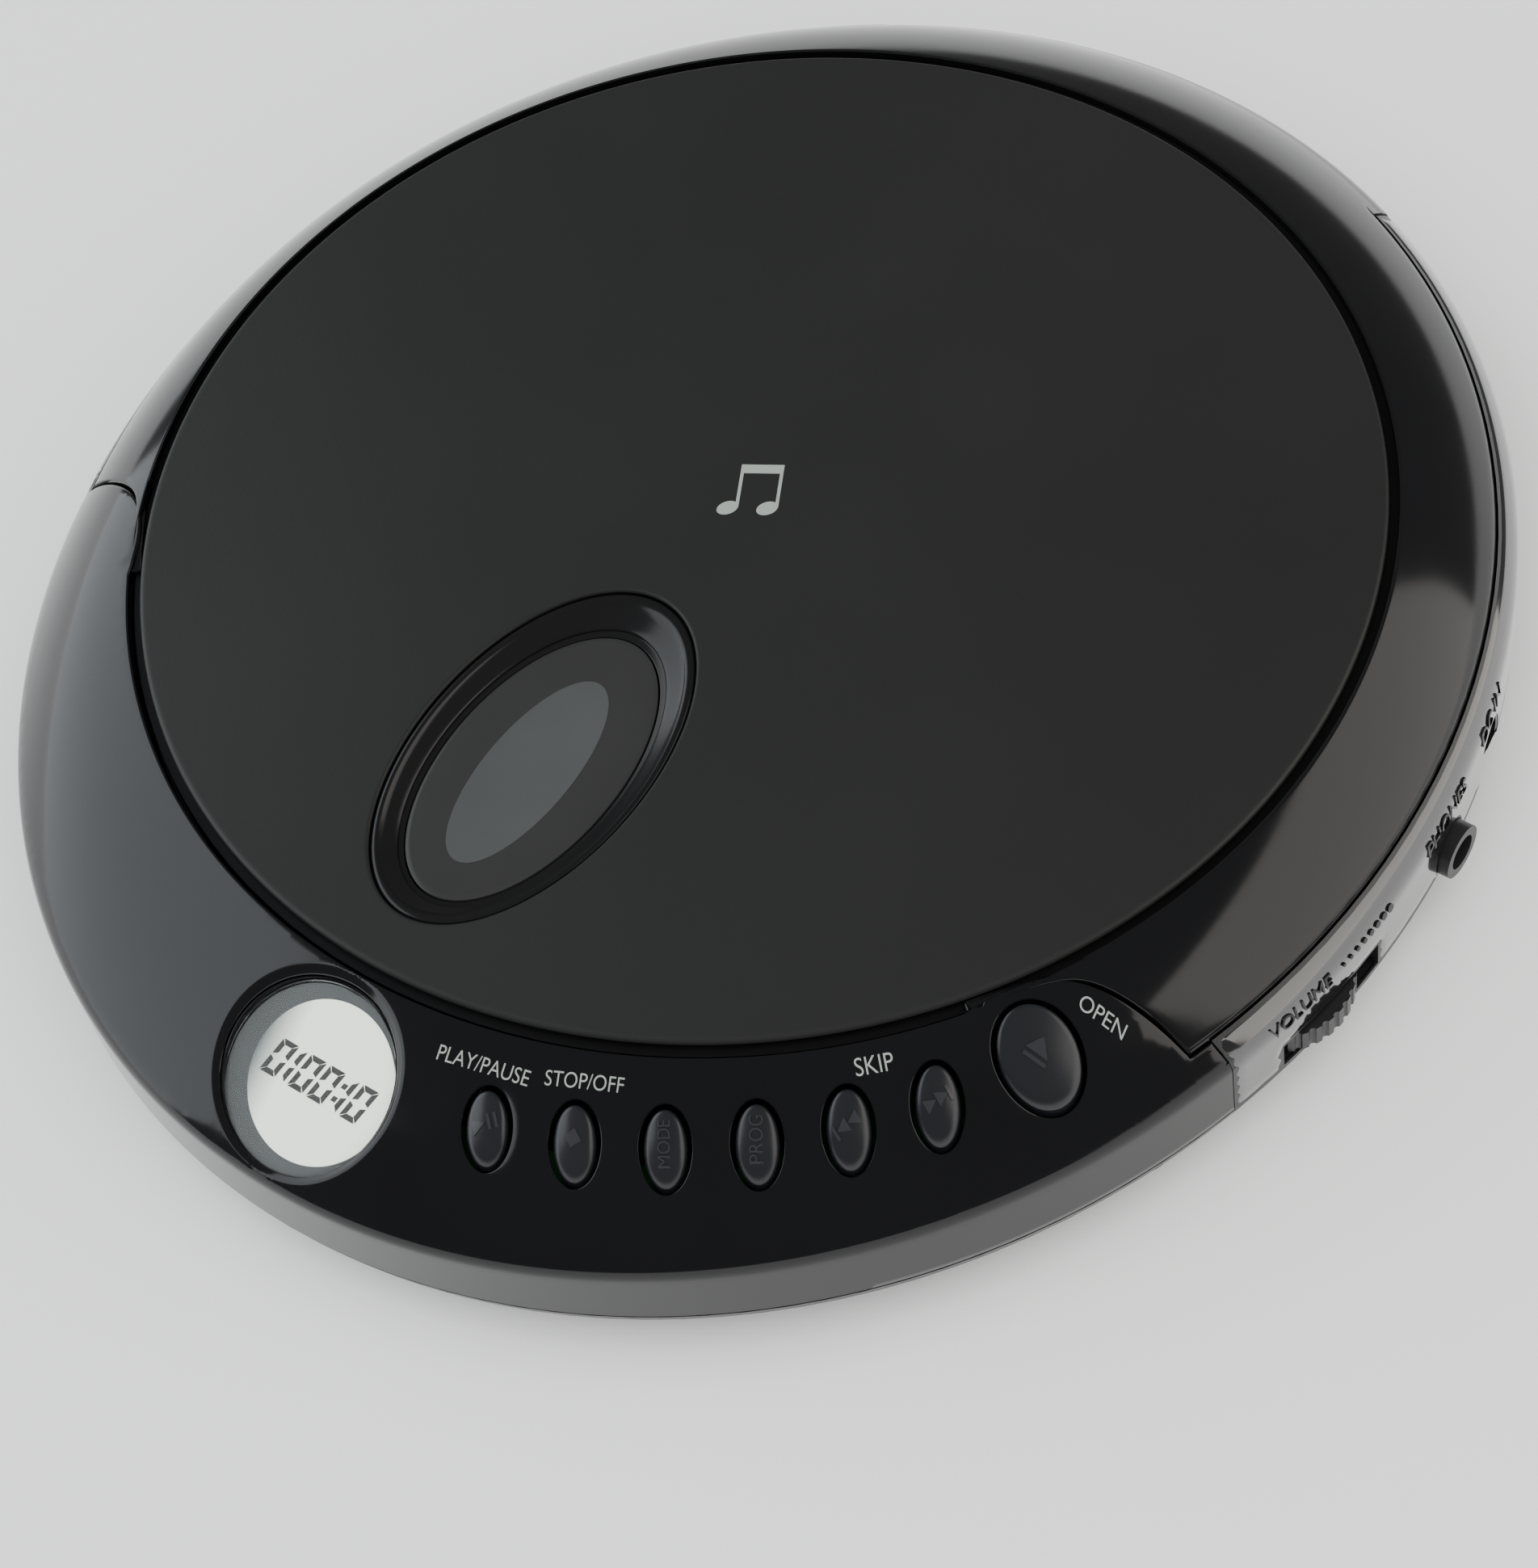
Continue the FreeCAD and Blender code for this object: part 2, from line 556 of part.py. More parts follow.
def key_board():
    """Crescent board under the control panel, clear of the pickup and the latch."""
    z0, z1 = KEY_BOARD_Z, KEY_BOARD_Z + 1.2
    a, b, cy = oval_at(1.0)
    board = oval(a - WALL - 1.0, b - WALL - 1.0, cy, z0, z1)
    board = board.cut(cyl(67.0, 0, 50, 0, SPINDLE_Y))
    board = board.common(box(-12.0, 56.0, -90, -40.0, 0, 50))
    for x, y in FRONT_SCREW_SPOTS:
        board = board.cut(cyl(3.0, 0, 30, x, y))
    widened = []
    for _, azimuth, s, _, _, turn in BUTTONS[:6]:
        at = rim_point(azimuth, s)
        tab = box(-3.4, 3.4, -2.6, 2.6, z0, z1)
        tab.rotate(V(0, 0, 0), Z_AXIS, turn)
        tab.translate(V(at.x, at.y, 0))
        widened.append(tab)
    return fuse([board] + widened)


def display_lens():
    return display_disc(DISPLAY_R, -1.2, 0.0)


def display_mask():
    """Dark frame under the lens with an opening for the numerals."""
    mask = display_disc(DISPLAY_R - 1.1, -1.9, -1.3)
    opening = display_box(12.6, 12.8, -3.0, 0.0).common(display_disc(7.3, -3.0, 0.0))
    return mask.cut(opening)


def display_module():
    return display_box(13.8, 12.8, -3.6, -2.1)


def latch_slider():
    """Sliding strip from under the OPEN button to the lid's hook; it moves outwards.

    Its catch stands just short of the hook's nose, so that the lid can be lifted on its own.
    """
    strip = box(63.6, 65.4, -10.0, 9.5, 12.9, 14.1)
    strip.rotate(V(0, 0, 0), Z_AXIS, LATCH_AZ)
    catch = box(63.35, 65.2, -2.6, 2.6, 12.9, 14.1)
    catch.rotate(V(0, 0, 0), Z_AXIS, HOOK_AZ)
    slider = fuse([strip, catch])
    slider.translate(V(0, SPINDLE_Y, 0))
    return slider


# ---------------------------------------------------------------- electronics
def main_board():
    a, b, cy = oval_at(1.0)
    board = oval(a - 8.0, b - 8.0, cy, BOARD_Z, BOARD_Z + BOARD)
    plan = box(-24.0, 80.0, -46.0, 20.5, 0, 30).fuse(box(31.0, 80.0, -46.0, 28.0, 0, 30))
    board = board.common(plan)
    for x, y in SCREW_SPOTS + FRONT_SCREW_SPOTS:
        board = board.cut(cyl(3.5, 0, 30, x, y))
    return board


def chip(x, y, w, d, h):
    top = BOARD_Z + BOARD
    return box(x - w / 2, x + w / 2, y - d / 2, y + d / 2, top, top + h)


def board_chips():
    return group([chip(48.0, -14.0, 12.0, 12.0, 1.4), chip(40.0, -32.0, 9.0, 7.0, 1.4),
                  chip(42.0, 6.0, 7.0, 6.0, 1.4), chip(10.0, -38.0, 6.0, 5.0, 1.2)])


def board_capacitors():
    top = BOARD_Z + BOARD
    spots = [(37.0, 18.0), (45.0, 18.0), (53.0, 1.0), (56.0, -24.0), (52.0, -34.0)]
    return group([cyl(2.5, top, top + 5.4, x, y) for x, y in spots])


def crystal():
    return chip(38.0, -20.0, 4.5, 11.0, 3.2)


def headphone_jack():
    body = box(57.0, 66.4, PHONES_Y - 3.3, PHONES_Y + 3.3, BOARD_Z + BOARD, 11.6)
    collar = x_cyl(PHONES_COLLAR_R, 66.0, 73.4, PHONES_Y, PHONES_Z)
    bore = x_cyl(PHONES_BORE_R, 59.0, 74.0, PHONES_Y, PHONES_Z)
    return body.fuse(collar).removeSplitter().cut(bore)


def dc_jack():
    body = box(54.5, 62.8, DC_Y - 4.0, DC_Y + 4.0, BOARD_Z + BOARD, 12.4)
    nose = x_cyl(DC_BORE_R + 0.45, 62.0, 67.9, DC_Y, DC_Z)
    bore = x_cyl(DC_BORE_R, 58.0, 74.0, DC_Y, DC_Z)
    return body.fuse(nose).cut(bore).cut(x_cyl(DC_PIN_R, 56.5, 59.0, DC_Y, DC_Z))


def dc_jack_pin():
    return x_cyl(DC_PIN_R, 56.5, 67.0, DC_Y, DC_Z)


def volume_wheel():
    wheel = cyl(WHEEL_R, WHEEL_Z0, WHEEL_Z1, WHEEL_X, WHEEL_Y)
    flutes = []
    for i in range(WHEEL_TEETH):
        angle = 2 * math.pi * i / WHEEL_TEETH
        x = WHEEL_X + (WHEEL_R + 0.15) * math.cos(angle)
        y = WHEEL_Y + (WHEEL_R + 0.15) * math.sin(angle)
        flutes.append(cyl(0.4, WHEEL_Z0 - 1, WHEEL_Z1 + 1, x, y))
    wheel = wheel.cut(group(flutes))
    return wheel.cut(cyl(1.5 + RUNNING, 0, 20, WHEEL_X, WHEEL_Y))


def volume_pot():
    top = BOARD_Z + BOARD
    body = box(WHEEL_X - 8.6, WHEEL_X + 0.4, WHEEL_Y - 4.0, WHEEL_Y + 4.0, top, WHEEL_Z0 - 0.3)
    shaft = cyl(1.5, WHEEL_Z0 - 0.4, WHEEL_Z1 + 0.3, WHEEL_X, WHEEL_Y)
    return body.fuse(shaft).removeSplitter()


def lid_switch():
    """Small switch under the deck, at the well's left edge, that senses the closed lid."""
    body = box(-3.0, 3.0, -2.0, 2.0, 10.4, 14.2)
    tip = cyl(0.7, 14.2, 14.9)
    switch = body.fuse(tip).removeSplitter()
    switch.rotate(V(0, 0, 0), Z_AXIS, -25.0)
    switch.translate(V(-58.5, -20.0, 0))
    return switch


def coil(radius, wire_r, pitch, turns, start, direction):
    """Round wire along a true helix that begins at start."""
    path = Part.makeHelix(pitch, pitch * turns, radius)
    path.Placement = FreeCAD.Placement(start, FreeCAD.Rotation(Z_AXIS, direction))
    edge = path.Edges[0]
    tangent = edge.tangentAt(edge.FirstParameter)
    profile = Part.Wire(Part.makeCircle(wire_r, edge.valueAt(edge.FirstParameter), tangent))
    return Part.Wire(path.Edges).makePipeShell([profile], True, True)


CELL_Y = (31.6, 46.4)
CELL_Z = 9.8


def battery_springs():
    """Coil contacts for the flat end of each cell, at opposite ends of the bay."""
    first = coil(3.4, 0.45, 1.25, 3, V(BAY_X - 0.95, CELL_Y[1], CELL_Z), V(-1, 0, 0))
    second = first.copy()
    second.rotate(V(0, (CELL_Y[0] + CELL_Y[1]) / 2, 0), Z_AXIS, 180)
    return group([first, second])


def battery_contacts():
    """Spring-steel plates at both ends of the bay, with a pip for each cell's button."""
    plates = []
    for side in (-1, 1):
        x0, x1 = sorted((side * (BAY_X - 0.4), side * (BAY_X - 0.05)))
        for y in CELL_Y:
            plates.append(box(x0, x1, y - 5.0, y + 5.0, 5.0, 14.6))
    return group(plates)


# ---------------------------------------------------------------- disc mechanism
def gear(module, teeth, z0, z1, x, y, phase=0.0):
    """Spur gear with straight-sided teeth, thinned a little so that pairs run freely."""
    pitch_r = module * teeth / 2
    root_r = pitch_r - 1.15 * module
    tip_r = pitch_r + 0.85 * module
    step = 2 * math.pi / teeth
    half_root = 0.30 * module * math.pi / root_r
    half_tip = 0.11 * module * math.pi / tip_r
    points = []
    for i in range(teeth):
        mid = phase + i * step
        for r, side in ((root_r, -half_root), (tip_r, -half_tip), (tip_r, half_tip),
                        (root_r, half_root)):
            points.append(V(x + r * math.cos(mid + side), y + r * math.sin(mid + side), z0))
    points.append(points[0])
    return Part.Face(Part.makePolygon(points)).extrude(V(0, 0, z1 - z0))


def rack(y0, y1, z0, z1):
    """Straight rack whose teeth face +X, with a tooth gap at the drive gear's height."""
    pitch = math.pi * RACK_MODULE
    root_x = RACK_X - 1.15 * RACK_MODULE
    tip_x = RACK_X + 0.85 * RACK_MODULE
    first = math.ceil((y0 - DRIVE_Y) / pitch)
    last = math.floor((y1 - DRIVE_Y) / pitch)
    points = [V(RACK_X - 4.1, y0, z0), V(root_x, y0, z0)]
    for i in range(first, last):
        mid = DRIVE_Y + (i + 0.5) * pitch
        for half, x in ((0.27, root_x), (0.10, tip_x), (-0.10, tip_x), (-0.27, root_x)):
            points.append(V(x, mid - half * pitch, z0))
    points += [V(root_x, y1, z0), V(RACK_X - 4.1, y1, z0), V(RACK_X - 4.1, y0, z0)]
    return Part.Face(Part.makePolygon(points)).extrude(V(0, 0, z1 - z0))


PINION_R = RACK_MODULE * PINION_TEETH / 2
DRIVE_X = RACK_X + PINION_R
DRIVE_R = DRIVE_MODULE * DRIVE_TEETH / 2
MOTOR_R = DRIVE_MODULE * MOTOR_TEETH / 2
MOTOR_ANGLE = math.radians(-54.0)     # from the drive gear to the sled motor
MOTOR_X = DRIVE_X + (DRIVE_R + MOTOR_R) * math.cos(MOTOR_ANGLE)
MOTOR_Y = DRIVE_Y + (DRIVE_R + MOTOR_R) * math.sin(MOTOR_ANGLE)
LENS_REST_Y = SPINDLE_Y - LENS_START_R


def drive_gear():
    pinion = gear(RACK_MODULE, PINION_TEETH, 8.2, 12.9, DRIVE_X, DRIVE_Y, math.pi)
    wheel = gear(DRIVE_MODULE, DRIVE_TEETH, 6.8, 8.2, DRIVE_X, DRIVE_Y, MOTOR_ANGLE)
    return pinion.fuse(wheel).removeSplitter().cut(
        cyl(0.8 + RUNNING, 0, 20, DRIVE_X, DRIVE_Y))


def motor_gear():
    phase = MOTOR_ANGLE + math.pi + math.pi / MOTOR_TEETH
    teeth = gear(DRIVE_MODULE, MOTOR_TEETH, 6.8, 8.3, MOTOR_X, MOTOR_Y, phase)
    return teeth.fuse(cyl(0.6, 6.8, 10.5, MOTOR_X, MOTOR_Y)).removeSplitter()


def sled_motor():
    can = cyl(5.2, 8.8, CHASSIS_Z, MOTOR_X, MOTOR_Y)
    return can.cut(cyl(0.6 + RUNNING, 0, 10.6, MOTOR_X, MOTOR_Y))


def mechanism_chassis():
    z0, z1 = CHASSIS_Z, CHASSIS_Z + CHASSIS
    plate = box(-26.0, 36.0, -64.0, 21.0, z0, z1)
    plate = plate.cut(box(-19.0, 13.4, -61.5, -12.5, 0, 30))
    plate = plate.cut(cyl(3.0, 0, 30, 0, SPINDLE_Y))
    for x, y in DAMPER_SPOTS:
        plate = plate.cut(cyl(2.6, 0, 30, x, y))
    lugs = []
    for x in ROD_X:
        for y0 in (-63.6, -12.4):
            lugs.append(box(x - 2.4, x + 2.4, y0, y0 + 1.9, ROD_Z - 2.0, z0))
    post = cyl(0.8, 6.2, z0, DRIVE_X, DRIVE_Y)
    plate = plate.cut(box(13.8, 80, -80, -60.0, 0, 30)).cut(box(24.0, 80, -80, -54.0, 0, 30))
    chassis = fuse([plate, post] + lugs)
    for x in ROD_X:
        chassis = chassis.cut(y_cyl(ROD_R, -63.6, -10.5, x, ROD_Z))
    return chassis


def chassis_dampers():
    dampers = []
    for x, y in DAMPER_SPOTS:
        top = cyl(3.8, CHASSIS_Z + CHASSIS, CHASSIS_Z + CHASSIS + 0.8, x, y)
        neck = cyl(2.6, CHASSIS_Z, CHASSIS_Z + CHASSIS, x, y)
        low = cyl(3.8, CHASSIS_Z - 1.0, CHASSIS_Z, x, y)
        dampers.append(fuse([top, neck, low]).cut(cyl(1.5, 0, 30, x, y)))
    return group(dampers)


def chassis_screws():
    z = CHASSIS_Z - 1.0
    screws = []
    for x, y in DAMPER_SPOTS:
        screw = cyl(3.0, z - 0.9, z, x, y).fuse(cyl(0.6, z, z + 3.4, x, y))
        screws.append(screw.removeSplitter())
    return group(screws)


def guide_rods():
    return group([y_cyl(ROD_R, -63.6, -10.5, x, ROD_Z) for x in ROD_X])


def pickup_sled():
    front, back = LENS_REST_Y - 4.5, LENS_REST_Y + 9.0
    body = box(-18.0, 12.4, front, back, 9.2, 12.8)
    block = box(-6.6, 6.6, LENS_REST_Y - 4.0, LENS_REST_Y + 6.0, 12.8, 16.4)
    arm = rack(-36.0, 7.0, 11.0, 12.05)
    sled = fuse([body, block, arm])
    sled = sled.cut(cyl(2.3, 14.6, 20, 0, LENS_REST_Y))
    for x in ROD_X:
        sled = sled.cut(y_cyl(ROD_R + RUNNING, front - 1, back + 1, x, ROD_Z))
    return sled


def objective_lens():
    return cyl(2.0, 15.4, 17.0, 0, LENS_REST_Y)


def spindle_motor():
    can = cyl(10.5, 7.6, CHASSIS_Z, 0, SPINDLE_Y).fuse(cyl(2.9, CHASSIS_Z, 14.6, 0, SPINDLE_Y))
    return can.removeSplitter().cut(cyl(SHAFT_R + RUNNING, 0, 30, 0, SPINDLE_Y))


def spindle_shaft():
    return cyl(SHAFT_R, 7.8, HUB_TOP_Z - 0.5, 0, SPINDLE_Y)


def turntable():
    """Disc seat and hub; slots behind the hub's rim leave its three gripping arcs springy."""
    boss = cyl(5.0, 14.9, DISC_SEAT_Z, 0, SPINDLE_Y)
    seat = cyl(14.5, DISC_SEAT_Z - 0.9, DISC_SEAT_Z, 0, SPINDLE_Y)
    hub = cyl(HUB_R, DISC_SEAT_Z, HUB_TOP_Z - 0.4, 0, SPINDLE_Y)
    crown = Part.makeCone(HUB_R, HUB_R - 0.9, 0.4, V(0, SPINDLE_Y, HUB_TOP_Z - 0.4))
    table = fuse([boss, seat, hub, crown])
    for i in range(3):
        for side in (-1, 1):
            slot = box(3.6, HUB_R - 1.5, side * 1.7 - 0.2, side * 1.7 + 0.2,
                       DISC_SEAT_Z + 0.3, HUB_TOP_Z + 1)
            slot.rotate(V(0, 0, 0), Z_AXIS, 120 * i + 30)
            slot.translate(V(0, SPINDLE_Y, 0))
            table = table.cut(slot)
    return table.cut(cyl(SHAFT_R, 0, HUB_TOP_Z - 0.5, 0, SPINDLE_Y))


def pickup_cable():
    """Flat cable folded in a U between the pickup's underside and the main board."""
    x0, x1 = -10.0, -2.0
    t = 0.25
    low_z, high_z = BOARD_Z + BOARD, 9.2
    r = (high_z - low_z) / 2
    top = box(x0, x1, -26.0, LENS_REST_Y + 6.0, high_z - t, high_z)
    bend = x_cyl(r, x0, x1, -26.0, low_z + r).cut(x_cyl(r - t, x0, x1, -26.0, low_z + r))
    bend = bend.common(box(x0, x1, -30.0, -26.0, 0, 20))
    low = box(x0, x1, -26.0, -20.0, low_z, low_z + t)
    return fuse([top, bend, low])


def battery_wires():
    """Red and black leads from the bay's contacts along its front wall to the board."""
    leads = []
    for i in (0, 1):
        x = 20.0 + 2.4 * i
        leads.append(y_cyl(0.6, 18.0, BAY_Y0 - BAY_WALL, x, BOARD_Z + BOARD + 0.6))
    return group(leads)


# ---------------------------------------------------------------- everything
def build():
    os.makedirs("parts", exist_ok=True)
    pieces = {
        "lid_shell": lid_shell, "lid_panel": lid_panel, "window_ring": window_ring,
        "window_lens": window_lens, "control_panel": control_panel,
        "middle_case": middle_case, "disc_deck": disc_deck, "deck_posts": deck_posts,
        "bottom_case": bottom_case,
        "battery_door": battery_door, "battery_springs": battery_springs,
        "battery_contacts": battery_contacts, "battery_wires": battery_wires,
        "case_screws": case_screws, "rubber_feet": rubber_feet, "hinge_pin": hinge_pin,
        "display_lens": display_lens, "display_mask": display_mask,
        "display_module": display_module, "key_board": key_board,
        "tact_switches": tact_switches, "latch_slider": latch_slider,
        "main_board": main_board, "board_chips": board_chips,
        "board_capacitors": board_capacitors, "crystal": crystal,
        "headphone_jack": headphone_jack, "dc_jack": dc_jack, "dc_jack_pin": dc_jack_pin,
        "volume_wheel": volume_wheel, "volume_pot": volume_pot, "lid_switch": lid_switch,
        "mechanism_chassis": mechanism_chassis, "chassis_dampers": chassis_dampers,
        "chassis_screws": chassis_screws, "guide_rods": guide_rods,
        "pickup_sled": pickup_sled, "objective_lens": objective_lens,
        "pickup_cable": pickup_cable, "drive_gear": drive_gear, "motor_gear": motor_gear,
        "sled_motor": sled_motor, "spindle_motor": spindle_motor,
        "spindle_shaft": spindle_shaft, "turntable": turntable}
    for name, make in pieces.items():
        save(name, make())
    for name, azimuth, s, long_r, short_r, turn in BUTTONS:
        save(name, button(azimuth, s, long_r, short_r, turn))


build()
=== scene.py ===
"""Looks of the portable CD player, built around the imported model. Metres; -Y is the front."""
import json
import math

import bmesh
import bpy
import numpy as np
from mathutils import Matrix, Vector
from mathutils.geometry import delaunay_2d_cdt


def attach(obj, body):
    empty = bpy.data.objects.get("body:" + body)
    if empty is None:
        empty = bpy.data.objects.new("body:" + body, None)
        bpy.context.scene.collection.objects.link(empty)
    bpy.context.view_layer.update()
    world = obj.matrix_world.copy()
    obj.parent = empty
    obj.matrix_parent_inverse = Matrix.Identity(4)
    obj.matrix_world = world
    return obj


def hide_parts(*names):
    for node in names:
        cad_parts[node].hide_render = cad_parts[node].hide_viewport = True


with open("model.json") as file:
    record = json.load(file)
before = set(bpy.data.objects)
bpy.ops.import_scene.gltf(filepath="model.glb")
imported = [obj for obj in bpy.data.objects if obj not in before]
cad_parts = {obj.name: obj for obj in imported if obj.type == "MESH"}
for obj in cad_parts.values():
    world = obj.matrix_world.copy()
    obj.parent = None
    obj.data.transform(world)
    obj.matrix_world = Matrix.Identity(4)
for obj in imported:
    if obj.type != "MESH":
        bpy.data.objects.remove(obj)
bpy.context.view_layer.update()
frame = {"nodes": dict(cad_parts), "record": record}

MM = 0.001
FAR = 1e9            # stands for no edge near

# ------------------------------------------------------------ the body's outer form, in mm
HALF_WIDTH, HALF_LENGTH = 72.6, 79.2
SPINDLE_Y = 1.45
GROOVE_R, GROOVE_Z = 62.15, 25.2
DOME_TOP, PLATE_R, PLATE_EDGE_Z = 27.3, 61.1, 25.5
DOME_R = (PLATE_R ** 2 + (DOME_TOP - PLATE_EDGE_Z) ** 2) / (2 * (DOME_TOP - PLATE_EDGE_Z))
# Plan ovals are numbered s, from 0 at the groove to 1 at the side wall.
LIP_S, SHOULDER_S = 0.80, 0.90
TOP_S, TOP_FALL, TOP_CURVE = 0.92, 5.6, 3.4
SHOULDER_Z = (15.76, 15.1, 13.9)
WALL_FOOT_Z = 7.1
WINDOW_Y, WINDOW_A, WINDOW_B = -33.9, 12.0, 20.1
LENS_Y, LENS_A, LENS_B = -34.5, 9.0, 16.0
OVAL_Y, OVAL_A, OVAL_B = -35.2, 4.6, 11.3
DISPLAY_Y, DISPLAY_R, DISPLAY_SINK = -69.9, 9.0, 1.35
WHEEL_Y = -11.0
PHONES_Y, PHONES_Z = 10.0, 8.4
DC_Y, DC_Z = 21.5, 8.4
SKIRT_X, SKIRT_Z = 30.0, 12.0
SILL_Z = 10.0        # top of the wall under the skirt, 0.6 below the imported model's sill


def oval_at(s):
    """Half width, half length and middle of oval s."""
    a = GROOVE_R + (HALF_WIDTH - GROOVE_R) * s
    b = GROOVE_R + (HALF_LENGTH - GROOVE_R) * s
    return a, b, SPINDLE_Y * (1 - s)


def top_z(s):
    """Height of the rim at oval s, out to the shoulder."""
    u = np.clip(s, 0, 1.1) / TOP_S
    return GROOVE_Z - TOP_FALL * u - TOP_CURVE * u ** 2.5


def radius_at(az, s):
    """Distance from the spindle to oval s in the direction az (radians)."""
    a, b, cy = oval_at(s)
    c, d = np.cos(az), np.sin(az)
    k = SPINDLE_Y - cy
    qa = (c / a) ** 2 + (d / b) ** 2
    qb = 2 * d * k / b ** 2
    qc = (k / b) ** 2 - 1
    return (-qb + np.sqrt(qb * qb - 4 * qa * qc)) / (2 * qa)


def plan(az, s):
    """Plan point of oval s in the direction az."""
    r = radius_at(az, s)
    return r * np.cos(az), SPINDLE_Y + r * np.sin(az)


def spot(az, s):
    x, y = plan(az, s)
    return float(x), float(y)


def s_of(x, y):
    """Which oval passes through x, y."""
    x, y = np.asarray(x, float), np.asarray(y, float)
    az = np.arctan2(y - SPINDLE_Y, x)
    r = np.hypot(x, y - SPINDLE_Y)
    low, high = np.full(r.shape, -0.2), np.full(r.shape, 1.05)
    for _ in range(30):
        mid = (low + high) / 2
        inside = radius_at(az, mid) < r
        low = np.where(inside, mid, low)
        high = np.where(inside, high, mid)
    return (low + high) / 2


def rim_z(x, y):
    """Height of the rim, shoulder included, over a plan point."""
    s = s_of(x, y)
    steps = np.array(shoulder(40))
    return np.where(s > SHOULDER_S, np.interp(s, steps[:, 0], steps[:, 1]), top_z(s))


def rim_slopes(x, y, h):
    """Slopes of the rim along x and y, measured h mm to each side."""
    return (float(rim_z(x + h, y) - rim_z(x - h, y)) / (2 * h),
            float(rim_z(x, y + h) - rim_z(x, y - h)) / (2 * h))


def bezier(t, p0, p1, p2, p3):
    return (1 - t) ** 3 * p0 + 3 * (1 - t) ** 2 * t * p1 + 3 * (1 - t) * t ** 2 * p2 + t ** 3 * p3


def shoulder(n):
    """Steps (s, z) from the top of the shoulder round to the vertical side wall."""
    t = np.linspace(0, 1, n)
    return list(zip(bezier(t, SHOULDER_S, 0.95, 1, 1),
                    bezier(t, float(top_z(SHOULDER_S)), *SHOULDER_Z)))


# ------------------------------------------------------------ meshes
def add_object(name, data):
    obj = bpy.data.objects.new(name, data)
    bpy.context.scene.collection.objects.link(obj)
    return obj


def new_object(name, verts_mm, faces, smooth_deg=35.0):
    """Tidied mesh object from points in mm."""
    mesh = bpy.data.meshes.new(name)
    mesh.from_pydata([tuple(float(c) * MM for c in v) for v in verts_mm], [], faces)
    mesh.validate()
    obj = add_object(name, mesh)
    tidy_mesh(obj, smooth_deg)
    return obj


def tidy_mesh(obj, smooth_deg=35.0):
    """Welds a mesh, turns its faces outwards and marks its sharp edges."""
    bm = bmesh.new()
    bm.from_mesh(obj.data)
    bmesh.ops.remove_doubles(bm, verts=bm.verts, dist=0.002 * MM)
    bmesh.ops.dissolve_degenerate(bm, edges=bm.edges, dist=0.0005 * MM)
    bmesh.ops.recalc_face_normals(bm, faces=bm.faces)
    limit = math.radians(smooth_deg)
    for face in bm.faces:
        face.smooth = True
    for edge in bm.edges:
        if len(edge.link_faces) == 2:
            edge.smooth = edge.calc_face_angle(0.0) < limit
    bm.to_mesh(obj.data)
    bm.free()


def skin(name, verts_mm, faces, thickness_mm):
    """Open skin turned to face away from the body's middle, then thickened inwards."""
    obj = new_object(name, verts_mm, faces)
    centre = Vector((0, 0, 0.002))
    outward = sum((p.center - centre).dot(p.normal) * p.area for p in obj.data.polygons)
    if outward < 0:
        obj.data.flip_normals()
    mod = obj.modifiers.new("wall", "SOLIDIFY")
    mod.thickness = thickness_mm * MM
    mod.offset = -1.0
    mod.use_even_offset = False
    depsgraph = bpy.context.evaluated_depsgraph_get()
    mesh = bpy.data.meshes.new_from_object(obj.evaluated_get(depsgraph))
    obj.modifiers.clear()
    obj.data = mesh
    tidy_mesh(obj)
    return obj


def grid_faces(rows, columns, closed=False):
    """Quads joining rows of points, each row closed on itself if asked."""
    faces = []
    for i in range(rows - 1):
        for j in range(columns if closed else columns - 1):
            k = (j + 1) % columns
            faces.append((i * columns + j, i * columns + k, (i + 1) * columns + k,
                          (i + 1) * columns + j))
    return faces


def ring_stack(name, rings, filled=True):
    """Closed rings of points skinned in order, the end rings filled or joined together."""
    count = len(rings[0])
    verts = [p for ring in rings for p in ring]
    last = len(verts) - count
    faces = grid_faces(len(rings), count, closed=True)
    if filled:
        faces += [tuple(range(count))[::-1], tuple(range(last, len(verts)))]
    else:
        faces += [(last + j, last + (j + 1) % count, (j + 1) % count, j) for j in range(count)]
    return new_object(name, verts, faces, 40)


def prism(name, front, back, faces):
    """Closed solid between two copies of a flat shape."""
    n = len(front)
    solid = list(faces) + [tuple(n + i for i in face[::-1]) for face in faces]
    edges = {(a, b) for face in faces for a, b in zip(face, face[1:] + face[:1])}
    solid += [(b, a, n + a, n + b) for a, b in sorted(edges) if (b, a) not in edges]
    return new_object(name, front + back, solid, 30)


def in_polygon(points, loop):
    """Which of the points lie inside a closed polygon."""
    x, y = points[:, 0], points[:, 1]
    inside = np.zeros(len(points), bool)
    px, py = loop[:, 0], loop[:, 1]
    qx, qy = np.roll(px, -1), np.roll(py, -1)
    for x0, y0, x1, y1 in zip(px, py, qx, qy):
        if y0 == y1:
            continue
        crosses = (y0 > y) != (y1 > y)
        inside ^= crosses & (x < (x1 - x0) * (y - y0) / (y1 - y0) + x0)
    return inside


def line_distance(points, line):
    """Distance from each point to an open polyline."""
    best = np.full(len(points), FAR)
    for p, q in zip(line[:-1], line[1:]):
        d = q - p
        length = max(float(d @ d), 1e-12)
        t = np.clip(((points - p) @ d) / length, 0, 1)
        gap = points - (p + t[:, None] * d)
        best = np.minimum(best, np.hypot(gap[:, 0], gap[:, 1]))
    return best


def loop_distance(points, loop):
    """Distance from each point to a closed polyline."""
    return line_distance(points, np.vstack([loop, loop[:1]]))


